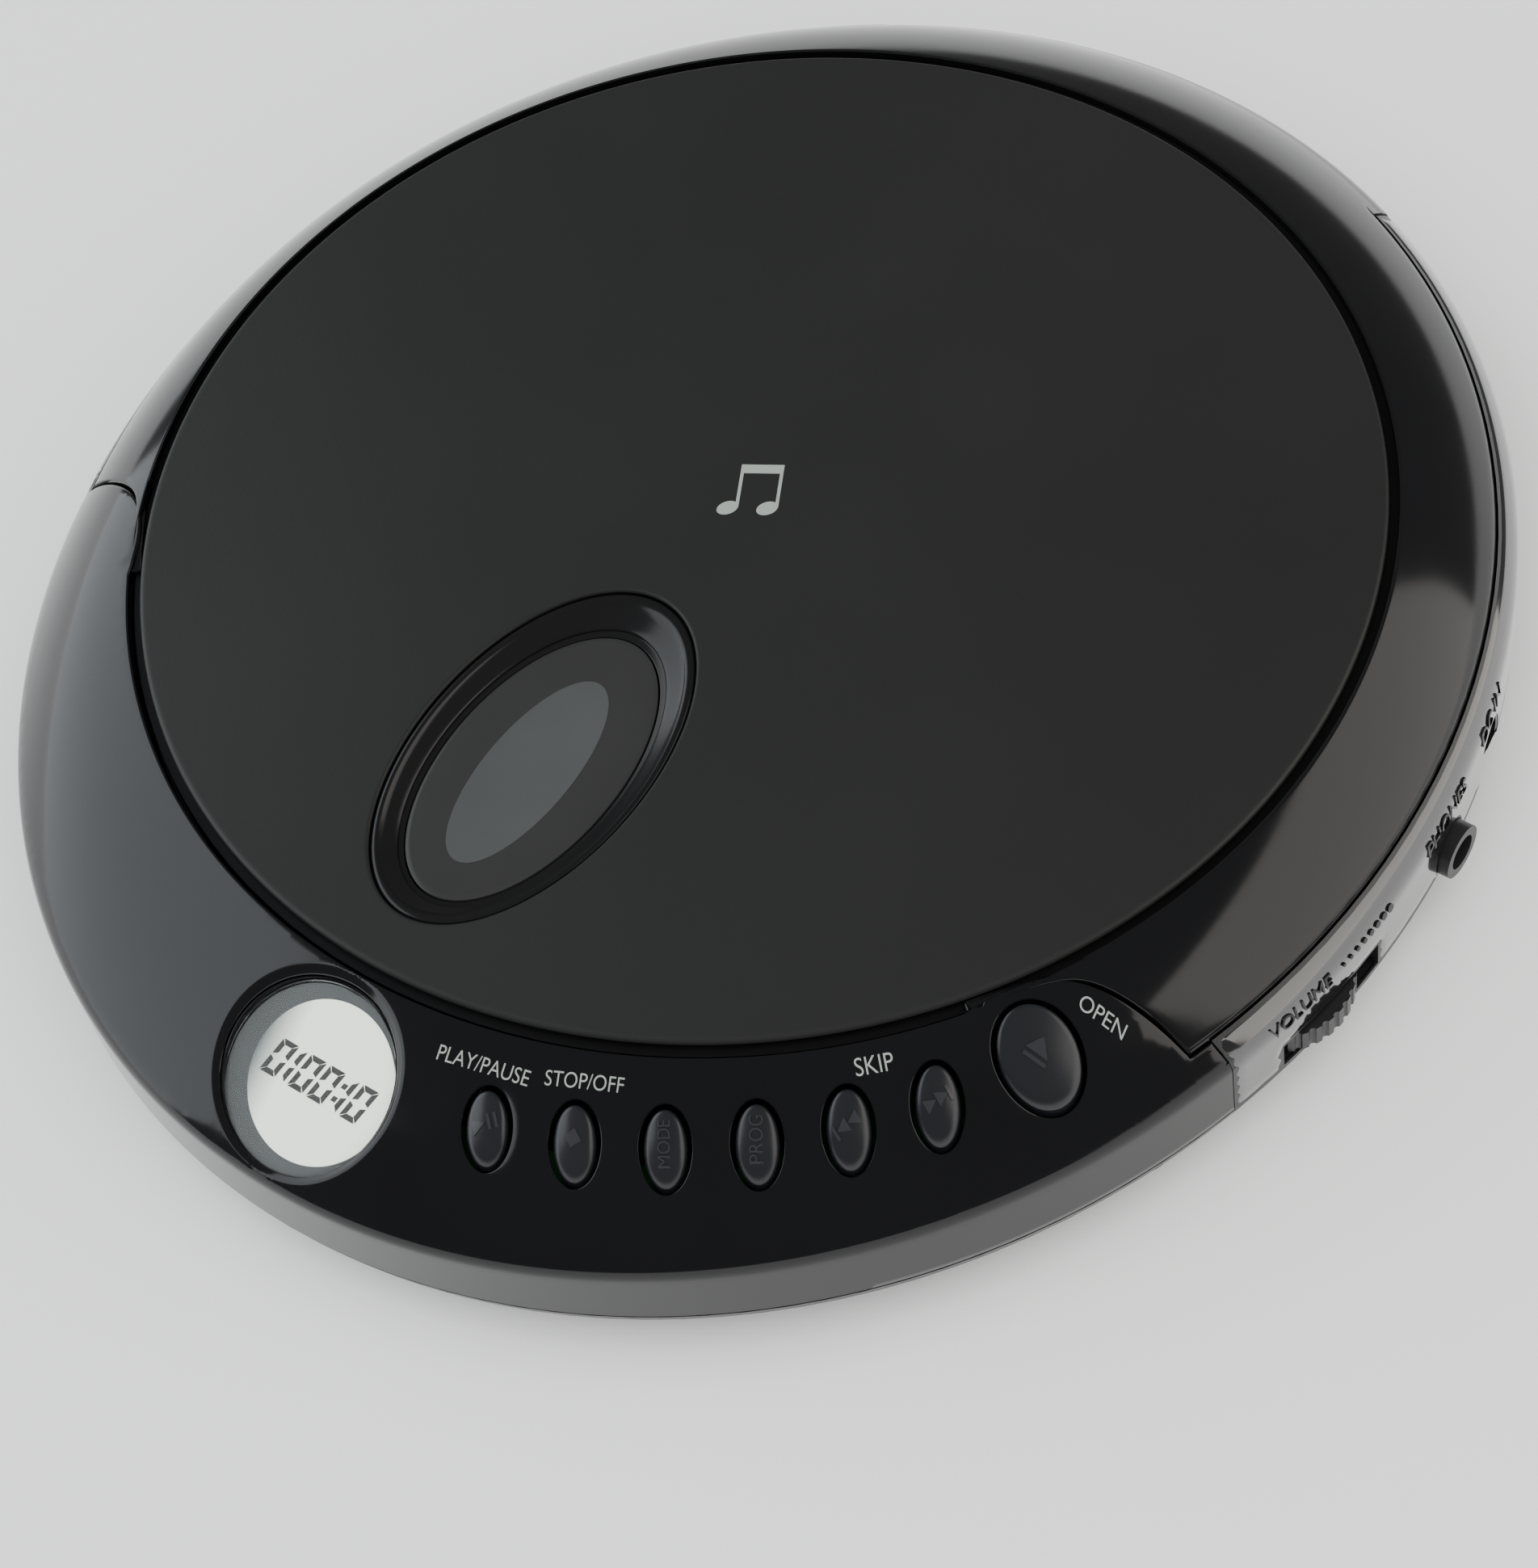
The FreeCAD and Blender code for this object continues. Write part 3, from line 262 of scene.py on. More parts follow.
def flat_region(outer, holes, extra_loops, spacing):
    """Triangles filling a plan outline with holes; extra loops add points, not edges."""
    low, high = outer.min(0), outer.max(0)
    gx = np.arange(low[0], high[0], spacing)
    gy = np.arange(low[1], high[1], spacing * 0.866)
    grid = np.array([(x + (spacing / 2 if j % 2 else 0), y)
                     for j, y in enumerate(gy) for x in gx])
    grid = grid[in_polygon(grid, outer)]
    for loop in holes:
        grid = grid[~in_polygon(grid, loop)]
    for loop in [outer] + holes + extra_loops:
        grid = grid[loop_distance(grid, loop) > spacing * 0.45]
    points, edges = [], []
    for loop in [outer] + holes:
        base = len(points)
        points.extend(loop.tolist())
        edges.extend((base + i, base + (i + 1) % len(loop)) for i in range(len(loop)))
    for loop in extra_loops:
        keep = loop[in_polygon(loop, outer)]
        for hole in holes:
            keep = keep[~in_polygon(keep, hole)] if len(keep) else keep
        points.extend(keep.tolist())
    points.extend(grid.tolist())
    vecs = [Vector(p) for p in points]
    verts, _, faces, _, _, _ = delaunay_2d_cdt(vecs, edges, [], 0, 1e-5)
    verts = np.array([tuple(v) for v in verts])
    faces = np.array(faces)
    middle = verts[faces].mean(1)
    keep = in_polygon(middle, outer)
    for loop in holes:
        keep &= ~in_polygon(middle, loop)
    return verts, [tuple(map(int, face)) for face in faces[keep]]


def circle_angles(n):
    return np.linspace(0, 2 * np.pi, n, endpoint=False)


def turned(x, y, u, v, turn):
    """Plan point u, v of a frame that stands at x, y and is turned by turn."""
    c, s = math.cos(turn), math.sin(turn)
    return x + u * c - v * s, y + u * s + v * c


def oval_loop(x, y, long_r, short_r, turn, n=96):
    t = circle_angles(n)
    return np.stack(turned(x, y, long_r * np.cos(t), short_r * np.sin(t), turn), 1)


def oval_distance(x, y, cx, cy, long_r, short_r, turn):
    """Roughly how far outside an oval a point lies; negative inside."""
    dx, dy = x - cx, y - cy
    u = dx * math.cos(turn) + dy * math.sin(turn)
    v = -dx * math.sin(turn) + dy * math.cos(turn)
    q = np.sqrt((u / long_r) ** 2 + (v / short_r) ** 2)
    g = np.sqrt((u / long_r ** 2) ** 2 + (v / short_r ** 2) ** 2) / np.maximum(q, 1e-6)
    return (q - 1) / np.maximum(g, 1e-6)


def rounding(distance, radius):
    """How far a surface drops next to an edge that is rounded by radius."""
    d = np.clip(radius - distance, 0, radius)
    return radius - np.sqrt(np.maximum(radius ** 2 - d ** 2, 0))


def smooth_step(t):
    t = np.clip(t, 0, 1)
    return t * t * (3 - 2 * t)


# ------------------------------------------------------------ materials
def material(name, color, rough, bump=0.0, bump_scale=400.0, vary=0.0, vary_scale=60.0,
             rough_vary=0.0, metallic=0.0, coat=0.0, coat_rough=0.05, specular=0.5):
    """Principled surface with fine procedural grain, colour drift and uneven gloss."""
    mat = bpy.data.materials.new(name)
    mat.use_nodes = True
    tree = mat.node_tree
    shader = tree.nodes["Principled BSDF"]
    shader.inputs["Base Color"].default_value = (*color, 1)
    shader.inputs["Roughness"].default_value = rough
    shader.inputs["Metallic"].default_value = metallic
    shader.inputs["Coat Weight"].default_value = coat
    shader.inputs["Coat Roughness"].default_value = coat_rough
    shader.inputs["Specular IOR Level"].default_value = specular
    coords = tree.nodes.new("ShaderNodeTexCoord").outputs["Object"]
    if vary:
        noise = noise_node(tree, coords, vary_scale, 4)
        ramp = tree.nodes.new("ShaderNodeValToRGB")
        ramp.color_ramp.elements[0].position = 0.3
        ramp.color_ramp.elements[1].position = 0.7
        ramp.color_ramp.elements[0].color = (*[c * (1 - vary) for c in color], 1)
        ramp.color_ramp.elements[1].color = (*[c * (1 + vary) for c in color], 1)
        tree.links.new(noise, ramp.inputs["Fac"])
        tree.links.new(ramp.outputs["Color"], shader.inputs["Base Color"])
    if rough_vary:
        noise = noise_node(tree, coords, vary_scale * 2.3, 5)
        span = tree.nodes.new("ShaderNodeMapRange")
        span.inputs["To Min"].default_value = max(rough - rough_vary, 0.01)
        span.inputs["To Max"].default_value = rough + rough_vary
        tree.links.new(noise, span.inputs["Value"])
        tree.links.new(span.outputs["Result"], shader.inputs["Roughness"])
    if bump:
        noise = noise_node(tree, coords, bump_scale, 3)
        node = tree.nodes.new("ShaderNodeBump")
        node.inputs["Strength"].default_value = bump
        node.inputs["Distance"].default_value = 0.00005
        tree.links.new(noise, node.inputs["Height"])
        tree.links.new(node.outputs["Normal"], shader.inputs["Normal"])
    return mat


def noise_node(tree, coords, scale, detail):
    noise = tree.nodes.new("ShaderNodeTexNoise")
    noise.inputs["Scale"].default_value = scale
    noise.inputs["Detail"].default_value = detail
    tree.links.new(coords, noise.inputs["Vector"])
    return noise.outputs["Fac"]


def paint(obj, mat):
    obj.data.materials.clear()
    obj.data.materials.append(mat)
    return obj


POLISHED = {"rough_vary": 0.03, "bump": 0.03, "bump_scale": 900}
GLOSS = material("gloss_black", (0.0045, 0.0046, 0.0052), 0.11, vary=0.10, specular=0.40,
                 **POLISHED)
BUTTON_GLOSS = material("button_black", (0.0095, 0.0100, 0.0120), 0.30, vary=0.08,
                        rough_vary=0.04, bump=0.06, bump_scale=1500)
# Painted highlight: the raised symbols are of the caps' own plastic; their lighter colour stands
# in for the light their edges catch.
EMBOSS_PAINTED_HIGHLIGHT = material("emboss_painted_highlight", (0.020, 0.021, 0.024), 0.27, vary=0.06, bump=0.05)
PLATE = material("plate_matt", (0.0136, 0.0142, 0.0136), 0.46, vary=0.07, vary_scale=25,
                 rough_vary=0.03, bump=0.22, bump_scale=5200, specular=0.28)
SATIN = material("satin_black", (0.0110, 0.0110, 0.0118), 0.38, vary=0.08, rough_vary=0.05,
                 bump=0.25, bump_scale=3200)
WALL = material("wall_black", (0.0060, 0.0062, 0.0066), 0.10, vary=0.10, coat=1.0,
                coat_rough=0.06, specular=1.0, **POLISHED)
BEZEL = material("bezel_black", (0.0060, 0.0060, 0.0064), 0.20, vary=0.08, specular=0.35,
                 **POLISHED)
SURROUND = material("window_black", (0.0250, 0.0255, 0.0250), 0.24, vary=0.05,
                    rough_vary=0.03, bump=0.03, specular=0.25)
# Painted shade: the lid's inner shell gets a darker, duller black than its plastic, so the groove
# round the plate shows as a dark line.
GROOVE_PAINTED_SHADE = material("groove_painted_shade", (0.0035, 0.0035, 0.0038), 0.55, vary=0.1, bump=0.1,
                  specular=0.15)
MASK = material("mask_black", (0.045, 0.048, 0.050), 0.5, vary=0.05, bump=0.05, specular=0.15)
INNER = material("inner_black", (0.013, 0.013, 0.014), 0.42, vary=0.08, rough_vary=0.05,
                 bump=0.3, bump_scale=2600)
LABEL = material("label_ink", (0.27, 0.30, 0.275), 0.55, vary=0.05, bump=0.1)
RUBBER = material("foot_rubber_black", (0.016, 0.016, 0.016), 0.8, vary=0.1, bump=0.5,
                  bump_scale=1800)
STEEL = material("bright_steel", (0.60, 0.60, 0.59), 0.25, metallic=1.0, vary=0.04,
                 rough_vary=0.06, bump=0.1)
DARK_STEEL = material("dark_steel", (0.08, 0.08, 0.08), 0.35, metallic=1.0, vary=0.1, bump=0.1)
CAN = material("zinc_can", (0.55, 0.55, 0.54), 0.33, metallic=1.0, vary=0.06, rough_vary=0.08,
               bump=0.15, bump_scale=700)
BOARD = material("solder_mask", (0.02, 0.10, 0.03), 0.3, vary=0.2, rough_vary=0.05, bump=0.2)
CREAM = material("gear_white", (0.70, 0.69, 0.64), 0.4, vary=0.04, bump=0.15)
AMBER = material("amber_film", (0.36, 0.16, 0.03), 0.25, vary=0.12, bump=0.05)
RED = material("wire_red", (0.40, 0.02, 0.015), 0.4, vary=0.05, bump=0.1)
CHIP = material("chip_black", (0.012, 0.012, 0.013), 0.5, vary=0.15, bump=0.4, bump_scale=3000)
GOLD = material("pin_metal", (0.75, 0.72, 0.66), 0.2, metallic=1.0, vary=0.05, bump=0.05)
DIGIT = material("digit_dark", (0.008, 0.009, 0.008), 0.5, vary=0.05, bump=0.05)
OBJECTIVE = material("objective_blue", (0.05, 0.07, 0.20), 0.03, vary=0.1, coat=1.0,
                     coat_rough=0.02)


# ------------------------------------------------------------ seams
SEAM_GAP = 0.30
CASE_SEAM_Y = -24.1
SEAM_Y, SEAM_FLARE = -25.95, 3.1
FLARE_X, FLARE_WIDTH = 54.3, 4.0


def seam_y(x):
    """Front edge of the lid's rim as a function of the distance from the middle plane."""
    return SEAM_Y - SEAM_FLARE * np.exp(-(np.abs(x) - FLARE_X) / FLARE_WIDTH)


def solve_az(test, low, high):
    """Angle (radians) at which test changes sign, by bisection."""
    sign = test(low) > 0
    for _ in range(40):
        mid = (low + high) / 2
        if (test(mid) > 0) == sign:
            low = mid
        else:
            high = mid
    return (low + high) / 2


def seam_az(s_rule, gap):
    """Right-hand angle at which the oval or circle given by s_rule meets the lid's seam."""
    def test(az):
        x, y = plan(az, s_rule(az))
        return float(y - (seam_y(x) - gap))
    return solve_az(test, math.radians(-45), math.radians(-15))


def level_az(s, y_level, high=0.0):
    """Right-hand angle, below high, at which oval s is at y_level."""
    return solve_az(lambda az: float(plan(az, s)[1]) - y_level, math.radians(-45), high)


def back_az(s, x):
    """Angle at which oval s is at x behind the spindle."""
    return solve_az(lambda az: float(plan(az, s)[0]) - x, 0.6, math.pi / 2)


def circle_s(radius):
    """Rule giving the oval that passes at this radius from the spindle."""
    def rule(az):
        return float(s_of(radius * math.cos(az), SPINDLE_Y + radius * math.sin(az)))
    return rule


def mirrored(az):
    """The same angle on the left-hand side."""
    return -math.pi - az


# ------------------------------------------------------------ the control panel
PANEL_R = GROOVE_R + 0.2
PANEL_S = 0.972      # the panel's plan region ends part way down the shoulder
BUTTON_AZ, BUTTON_STEP, BUTTON_TURN = -74.8, 6.7, -58.0     # degrees
OPEN_AZ = math.radians(-33.0)
BUTTON_NAMES = ("play_pause_button", "stop_button", "mode_button", "program_button",
                "skip_back_button", "skip_forward_button")
# Each button: name, angle about the spindle, oval, long and short radius, turn.
BUTTONS = [(name, math.radians(BUTTON_AZ + BUTTON_STEP * i), 0.45, 3.05, 1.95,
            math.radians(BUTTON_TURN)) for i, name in enumerate(BUTTON_NAMES)]
BUTTONS.append(("open_button", OPEN_AZ, 0.40, 4.0, 3.6, OPEN_AZ))
FIT = 0.42           # clearance round a button
DISPLAY_FIT = 0.15   # and round the display


DISPLAY_POINT = Vector((0.0, DISPLAY_Y, float(rim_z(0.0, DISPLAY_Y))))
DISPLAY_SIDE_SLOPE, DISPLAY_SLOPE = rim_slopes(0.0, DISPLAY_Y, 0.05)
DISPLAY_COS = 1 / math.sqrt(1 + DISPLAY_SLOPE ** 2)
DISH_WIDTH, DISH_DEPTH = 0.9, 0.10
RING_WIDTH, RING_DEPTH = 0.75, 0.45


def display_oval(grow, n):
    """Plan outline of the round display, grow mm larger in radius."""
    r = DISPLAY_R + grow
    return oval_loop(0, DISPLAY_Y, r, r * DISPLAY_COS, 0.0, n)


def panel_z(points, ends):
    """Height of the panel: the rim less its dishes, rounded at seams and holes."""
    x, y = points[:, 0], points[:, 1]
    z = rim_z(x, y)
    for _, az, s, long_r, short_r, turn in BUTTONS:
        cx, cy = spot(az, s)
        near = np.hypot(x - cx, y - cy) < 9
        gap = oval_distance(x[near], y[near], cx, cy, long_r + FIT, short_r + FIT, turn)
        z[near] -= DISH_DEPTH * (1 - smooth_step(gap / DISH_WIDTH))
        z[near] -= rounding(np.maximum(gap, 0), 0.14)
    near = np.hypot(x, y - DISPLAY_Y) < 13
    ring = DISPLAY_R + DISPLAY_FIT
    gap = oval_distance(x[near], y[near], 0, DISPLAY_Y, ring, ring * DISPLAY_COS, 0.0)
    z[near] -= RING_DEPTH * (1 - smooth_step(gap / RING_WIDTH))
    z[near] -= rounding(np.maximum(gap, 0), 0.15)
    edge = np.full(len(x), FAR)
    for line in ends:
        edge = np.minimum(edge, line_distance(points, line))
    return z - rounding(edge, 0.32)


def panel_side(sign):
    """Plan line of one end of the panel, from the groove to the shoulder, and its angle."""
    lip_s = LIP_S + 0.025
    start = seam_az(circle_s(PANEL_R), SEAM_GAP)
    lip = seam_az(lambda az: lip_s, SEAM_GAP)
    xs = np.linspace(PANEL_R * math.cos(start), spot(lip, lip_s)[0], 40)
    line = [(x, float(seam_y(x)) - SEAM_GAP) for x in xs]
    line += [spot(az, lip_s) for az in np.linspace(lip, level_az(lip_s, CASE_SEAM_Y), 8)[1:]]
    edge_x = spot(level_az(PANEL_S, CASE_SEAM_Y), PANEL_S)[0]
    line += [(x, CASE_SEAM_Y) for x in np.linspace(line[-1][0], edge_x, 6)[1:]]
    line = np.array(line)
    line[:, 0] *= sign
    return line, start


def arc_angles(s, count):
    """Angles along the front of oval s, from seam to seam."""
    right = level_az(s, CASE_SEAM_Y)
    return np.linspace(right, mirrored(right), count)


def inset_line(line, gap):
    """Copy of a plan line moved gap mm to its left."""
    d = np.gradient(line, axis=0)
    normal = np.stack([-d[:, 1], d[:, 0]], 1)
    return line + normal / np.maximum(np.linalg.norm(normal, axis=1), 1e-9)[:, None] * gap


def control_panel():
    """Glossy front shell: the rim with its holes, the shoulder, the wall and an inner lip."""
    right, start = panel_side(1)
    left, _ = panel_side(-1)
    count = 420
    outer_arc = np.stack(plan(arc_angles(PANEL_S, count), PANEL_S), 1)
    inner_az = np.linspace(mirrored(start), start, 300)
    inner = np.stack([PANEL_R * np.cos(inner_az), SPINDLE_Y + PANEL_R * np.sin(inner_az)], 1)
    outline = np.vstack([right, outer_arc[1:-1], left[::-1], inner[1:-1]])
    holes, extra = [], []
    for _, az, s, long_r, short_r, turn in BUTTONS:
        hole, *around = [
            oval_loop(*spot(az, s), long_r + FIT + gap, short_r + FIT + gap, turn, 110)
            for gap in (0, 0.04, 0.09, 0.15, 0.35, 0.6, 0.9, 1.2, 1.5)]
        holes.append(hole)
        extra += around
    hole, *around = [display_oval(DISPLAY_FIT + gap, 200)
                     for gap in (0, 0.05, 0.1, 0.16, 0.35, 0.55, 0.75, 0.95)]
    holes.append(hole)
    extra += around
    ends = [right, left, inner]
    for line in ends:
        for gap in (0.05, 0.12, 0.2, 0.3):
            extra += [inset_line(line, gap), inset_line(line, -gap)]
    points, faces = flat_region(outline, holes, extra, 0.62)
    verts = list(zip(points[:, 0], points[:, 1], panel_z(points, ends)))
    base = len(verts)
    curve = np.array(shoulder(40))
    rows = [(PANEL_S, float(np.interp(PANEL_S, curve[:, 0], curve[:, 1])))]
    rows += [step for step in shoulder(16) if step[0] > PANEL_S + 0.004]
    rows += [(1.0, h) for h in (13.2, 12.0, 10.5, 9.0, 8.0, 7.35, 7.2, WALL_FOOT_Z)]
    for s, h in rows:
        tuck = 0.012 * (7.35 - h) / 0.25 if h <= 7.3 else 0.0
        xs, ys = plan(arc_angles(s, count), s - tuck)
        verts.extend((x, y, h) for x, y in zip(xs, ys))
    faces += [tuple(base + i for i in face) for face in grid_faces(len(rows), count)]
    shell = skin("control_panel_shell", verts, faces, 0.6)
    return join(shell, arc_bar(start, mirrored(start), PANEL_R, PANEL_R + 1.2, 18.5, 23.5, 220))


def arc_bar(az0, az1, r0, r1, z0, z1, count):
    """Bar of rectangular section bent along an arc about the spindle."""
    verts = []
    az = np.linspace(az0, az1, count)
    for r, z in ((r0, z0), (r1, z0), (r1, z1), (r0, z1)):
        verts.extend((r * math.cos(a), SPINDLE_Y + r * math.sin(a), z) for a in az)
    faces = []
    for i in range(4):
        k = (i + 1) % 4
        for j in range(count - 1):
            faces.append((i * count + j, i * count + j + 1, k * count + j + 1, k * count + j))
    faces.append(tuple(i * count for i in range(4)))
    faces.append(tuple(i * count + count - 1 for i in range(4)))
    return new_object("arc_bar", verts, faces)


def join(first, *others):
    """Joins meshes into the first object."""
    bm = bmesh.new()
    bm.from_mesh(first.data)
    for other in others:
        bm.from_mesh(other.data)
    bm.to_mesh(first.data)
    bm.free()
    for other in others:
        bpy.data.objects.remove(other)
    return first


# ------------------------------------------------------------ the lid
SKIN = 0.06          # how far the glossy skins stand off the CAD surface


def near_ends(n, width, fine=(0.0, 0.07, 0.15, 0.25, 0.4)):
    """Fractions from 0 to 1, closer together by the ends of a strip width mm wide."""
    edge = [f / width for f in fine]
    middle = np.linspace(edge[-1], 1 - edge[-1], n)[1:-1]
    return edge + middle.tolist() + [1 - e for e in edge[::-1]]


def lid_rim():
    """Glossy rim from the groove to the lip, with the skirt over the hinge."""
    lip_s, groove_r = LIP_S + 0.006, GROOVE_R - 0.02
    width, skirt_count = 10.0, 90
    rule = circle_s(groove_r)
    right_groove = seam_az(rule, 0.0)
    right_lip = seam_az(lambda az: lip_s, 0.0)
    skirt_az = back_az(lip_s, SKIRT_X)
    flank = (skirt_az - right_lip) * np.array(near_ends(150, 110.0))[:-5]
    cols = np.concatenate([right_lip + flank,
                           np.linspace(skirt_az, math.pi - skirt_az, skirt_count),
                           math.pi - right_lip - flank[::-1]])
    full = math.pi - 2 * right_lip
    share = (cols - right_lip) / full
    rows = near_ends(26, width)
    inner_s = s_of(groove_r * np.cos(cols), SPINDLE_Y + groove_r * np.sin(cols))
    verts = []
    for q in rows:
        blend = right_groove + (right_lip - right_groove) * q
        for _ in range(3):
            x, y = spot(blend, rule(blend) * (1 - q) + lip_s * q)
            blend += (float(seam_y(x)) - y) / x
        s = inner_s * (1 - q) + lip_s * q
        x, y = plan(blend + share * (math.pi - 2 * blend), s)
        over_skirt = np.clip((SKIRT_X - np.abs(x)) / 1.0, 0, 1) * (y > 0)
        z = top_z(s) + SKIN - rounding(np.full(len(x), q * width), 0.30)
        z = z - rounding(np.full(len(x), (1 - q) * width), 0.42) * (1 - over_skirt)
        z = z - rounding(np.minimum(np.abs(share), np.abs(1 - share)) * full * 69.0, 0.30)
        verts.extend(zip(x, y, z))
    faces = grid_faces(len(rows), len(cols))
    base = len(verts)
    steps = [(s, float(top_z(s))) for s in (lip_s, 0.82, 0.84, 0.87)] + shoulder(12)
    steps += [(1.0, SKIRT_Z + h) for h in (1.3, 0.7, 0.3, 0.12, 0.04)]
    for s, h in steps:
        end = back_az(s, SKIRT_X)
        tuck = (0.012 if h < SKIRT_Z + 0.1 else 0.0) - (0.004 if h < 16.5 else 0.0)
        x, y = plan(np.linspace(end, math.pi - end, skirt_count), s - tuck)
        verts.extend(zip(x, y, np.full(skirt_count, h + (SKIN if h > 15.2 else 0.0))))
    faces += [tuple(base + i for i in face) for face in grid_faces(len(steps), skirt_count)]
    return skin("lid_rim_gloss", verts, faces, 0.9)


def dome_z(x, y):
    """Height of the lid's domed plate."""
    return DOME_TOP - DOME_R + np.sqrt(DOME_R ** 2 - x ** 2 - (y - SPINDLE_Y) ** 2)


def dome_ring(half_a, half_b, mid_y, drop, count):
    """Oval ring of points that lie drop mm under the dome."""
    t = circle_angles(count)
    x, y = half_a * np.cos(t), mid_y + half_b * np.sin(t)
    return list(zip(x, y, dome_z(x, y) - drop))


def lid_plate():
    """Matt round plate with a softly rounded edge and the window's oval hole."""
    long_r, short_r = WINDOW_B + 0.1, WINDOW_A + 0.1
    outer, *inside = [oval_loop(0, SPINDLE_Y, PLATE_R - g, PLATE_R - g, 0, 512)
                      for g in (0, 0.05, 0.12, 0.22, 0.35, 0.5, 0.75)]
    hole, *around = [oval_loop(0, WINDOW_Y, long_r + g, short_r + g, math.pi / 2, 256)
                     for g in (0, 0.04, 0.1, 0.18, 0.28, 0.42)]
    points, faces = flat_region(outer, [hole], inside + around, 1.5)
    x, y = points[:, 0], points[:, 1]
    z = dome_z(x, y) - rounding(PLATE_R - np.hypot(x, y - SPINDLE_Y), 0.5)
    gap = oval_distance(x, y, 0, WINDOW_Y, long_r, short_r, math.pi / 2)
    z -= rounding(np.maximum(gap, 0), 0.3)
    return skin("lid_plate", list(zip(x, y, z)), faces, 1.05)


def window_bezel():
    """Funnel-shaped bezel: narrow land, long slope, then a fine inner step."""
    steps = [(0.0, 1.3), (0.0, 0.62), (0.04, 0.42), (0.14, 0.28), (0.30, 0.20), (0.55, 0.18),
             (0.72, 0.24), (0.80, 0.34), (0.9, 0.47)]
    steps += [(0.9 + 1.3 * t, 0.47 + 0.75 * t) for t in (0.25, 0.5, 0.75, 1.0)]
    steps += [(2.28, 1.30), (2.34, 1.42), (2.36, 1.60), (2.45, 1.66), (2.70, 1.68),
              (2.78, 1.72), (2.84, 1.95)]
    span, underside = steps[-1][0], 2.35
    inner = (LENS_A + 0.12, LENS_B + 0.12, LENS_Y)
    outer = (WINDOW_A, WINDOW_B, WINDOW_Y)
    rings = []
    for inset, drop in steps:
        f = inset / span
        rings.append(dome_ring(*(o * (1 - f) + i * f for o, i in zip(outer, inner)), drop, 200))
    rings += [dome_ring(*inner, underside, 200), dome_ring(*outer, underside, 200)]
    return ring_stack("window_bezel", rings, filled=False)


def window_glass():
    """Black window plate that the clear oval sits in."""
    return ring_stack("window_glass", [
        dome_ring(LENS_A * f, LENS_B * f, LENS_Y, drop, 160)
        for f, drop in ((1.0, 2.2), (1.0, 1.62), (0.985, 1.54), (0.96, 1.52), (0.7, 1.50),
                        (0.4, 1.49), (0.1, 1.49))])


def window_oval():
    """Smoked oval a little proud of the window plate."""
    return ring_stack("window_clear_oval", [
        dome_ring(OVAL_A * f, OVAL_B * f, OVAL_Y, drop, 120)
        for f, drop in ((1.0, 1.62), (1.0, 1.475), (0.97, 1.462), (0.6, 1.46), (0.05, 1.46))])


# ------------------------------------------------------------ the case's side wall
def case_wall():
    """Glossy side wall of the middle case with its socket and wheel openings.

    It is laid out flat: u runs round the wall and v down it, both in mm."""
    steps = [(s, float(top_z(s))) for s in np.linspace(LIP_S + 0.020, SHOULDER_S, 7)[:-1]]
    steps += shoulder(14) + [(1.0, h) for h in (12.0, 10.0, 8.0, WALL_FOOT_Z)]
    s_list, z_list = np.array(steps).T
    s_mm, unit = 12.0, 72.0          # mm per unit of s and per radian
    lengths = np.hypot(np.diff(s_list) * s_mm, np.diff(z_list))
    v_list = np.concatenate([[0], np.cumsum(lengths)])
    foot_v = v_list[-1]

    def v_of_z(z):
        return float(np.interp(-z, -z_list, v_list))

    def u_of_y(y):
        return level_az(1.0, y, 1.2) * unit

    right_end = [level_az(s, CASE_SEAM_Y + 0.12) * unit for s in s_list]
    v_fine = np.linspace(0, foot_v, 60)
    u_right = np.interp(v_fine, v_list, right_end)
    u_left = math.pi * unit - u_right
    top_u = np.linspace(u_right[0], u_left[0], 500)
    foot_u = np.linspace(u_right[-1], u_left[-1], 500)
    outline = np.vstack([
        np.stack([u_right, v_fine], 1), np.stack([foot_u, np.full(500, foot_v)], 1)[1:-1],
        np.stack([u_left, v_fine], 1)[::-1], np.stack([top_u[::-1], np.zeros(500)], 1)[1:-1]])
    slot = rounded_box(u_of_y(WHEEL_Y - 6.9), u_of_y(WHEEL_Y + 6.9), v_of_z(10.8),
                       v_of_z(7.6), 0.5)
    phones, phones_rim = [oval_loop(u_of_y(PHONES_Y), v_of_z(PHONES_Z), r, r, 0, 64)
                          for r in (2.9, 3.1)]
    power, power_rim = [oval_loop(u_of_y(DC_Y), v_of_z(DC_Z), r, r, 0, 64)
                        for r in (3.4, 3.6)]
    top_half, low_half = [back_az(s, SKIRT_X + 0.3) * unit for s in (0.83, 1.0)]
    low = v_of_z(SILL_Z)
    skirt = np.array([(top_half, -1.0), (low_half, low), (math.pi * unit - low_half, low),
                      (math.pi * unit - top_half, -1.0)])
    points, faces = flat_region(outline, [slot, phones, power, skirt], [phones_rim, power_rim],
                                0.9)
    u, v = points[:, 0], points[:, 1]
    edge = np.abs(v - foot_v) + 0.03
    for loop in (slot, phones, power):
        edge = np.minimum(edge, loop_distance(points, loop))
    drop = rounding(edge, 0.28) * (v > foot_v * 0.4)
    seam = rounding(np.minimum(u - np.interp(v, v_fine, u_right),
                               np.interp(v, v_fine, u_left) - u), 0.25)
    x, y = plan(u / unit, np.interp(v, v_list, s_list) + 0.006 - (drop + seam) / s_mm)
    z = np.interp(v, v_list, z_list) + 0.05 - rounding(v, 0.4)
    return skin("case_side_wall", list(zip(x, y, z)), faces, 0.4)


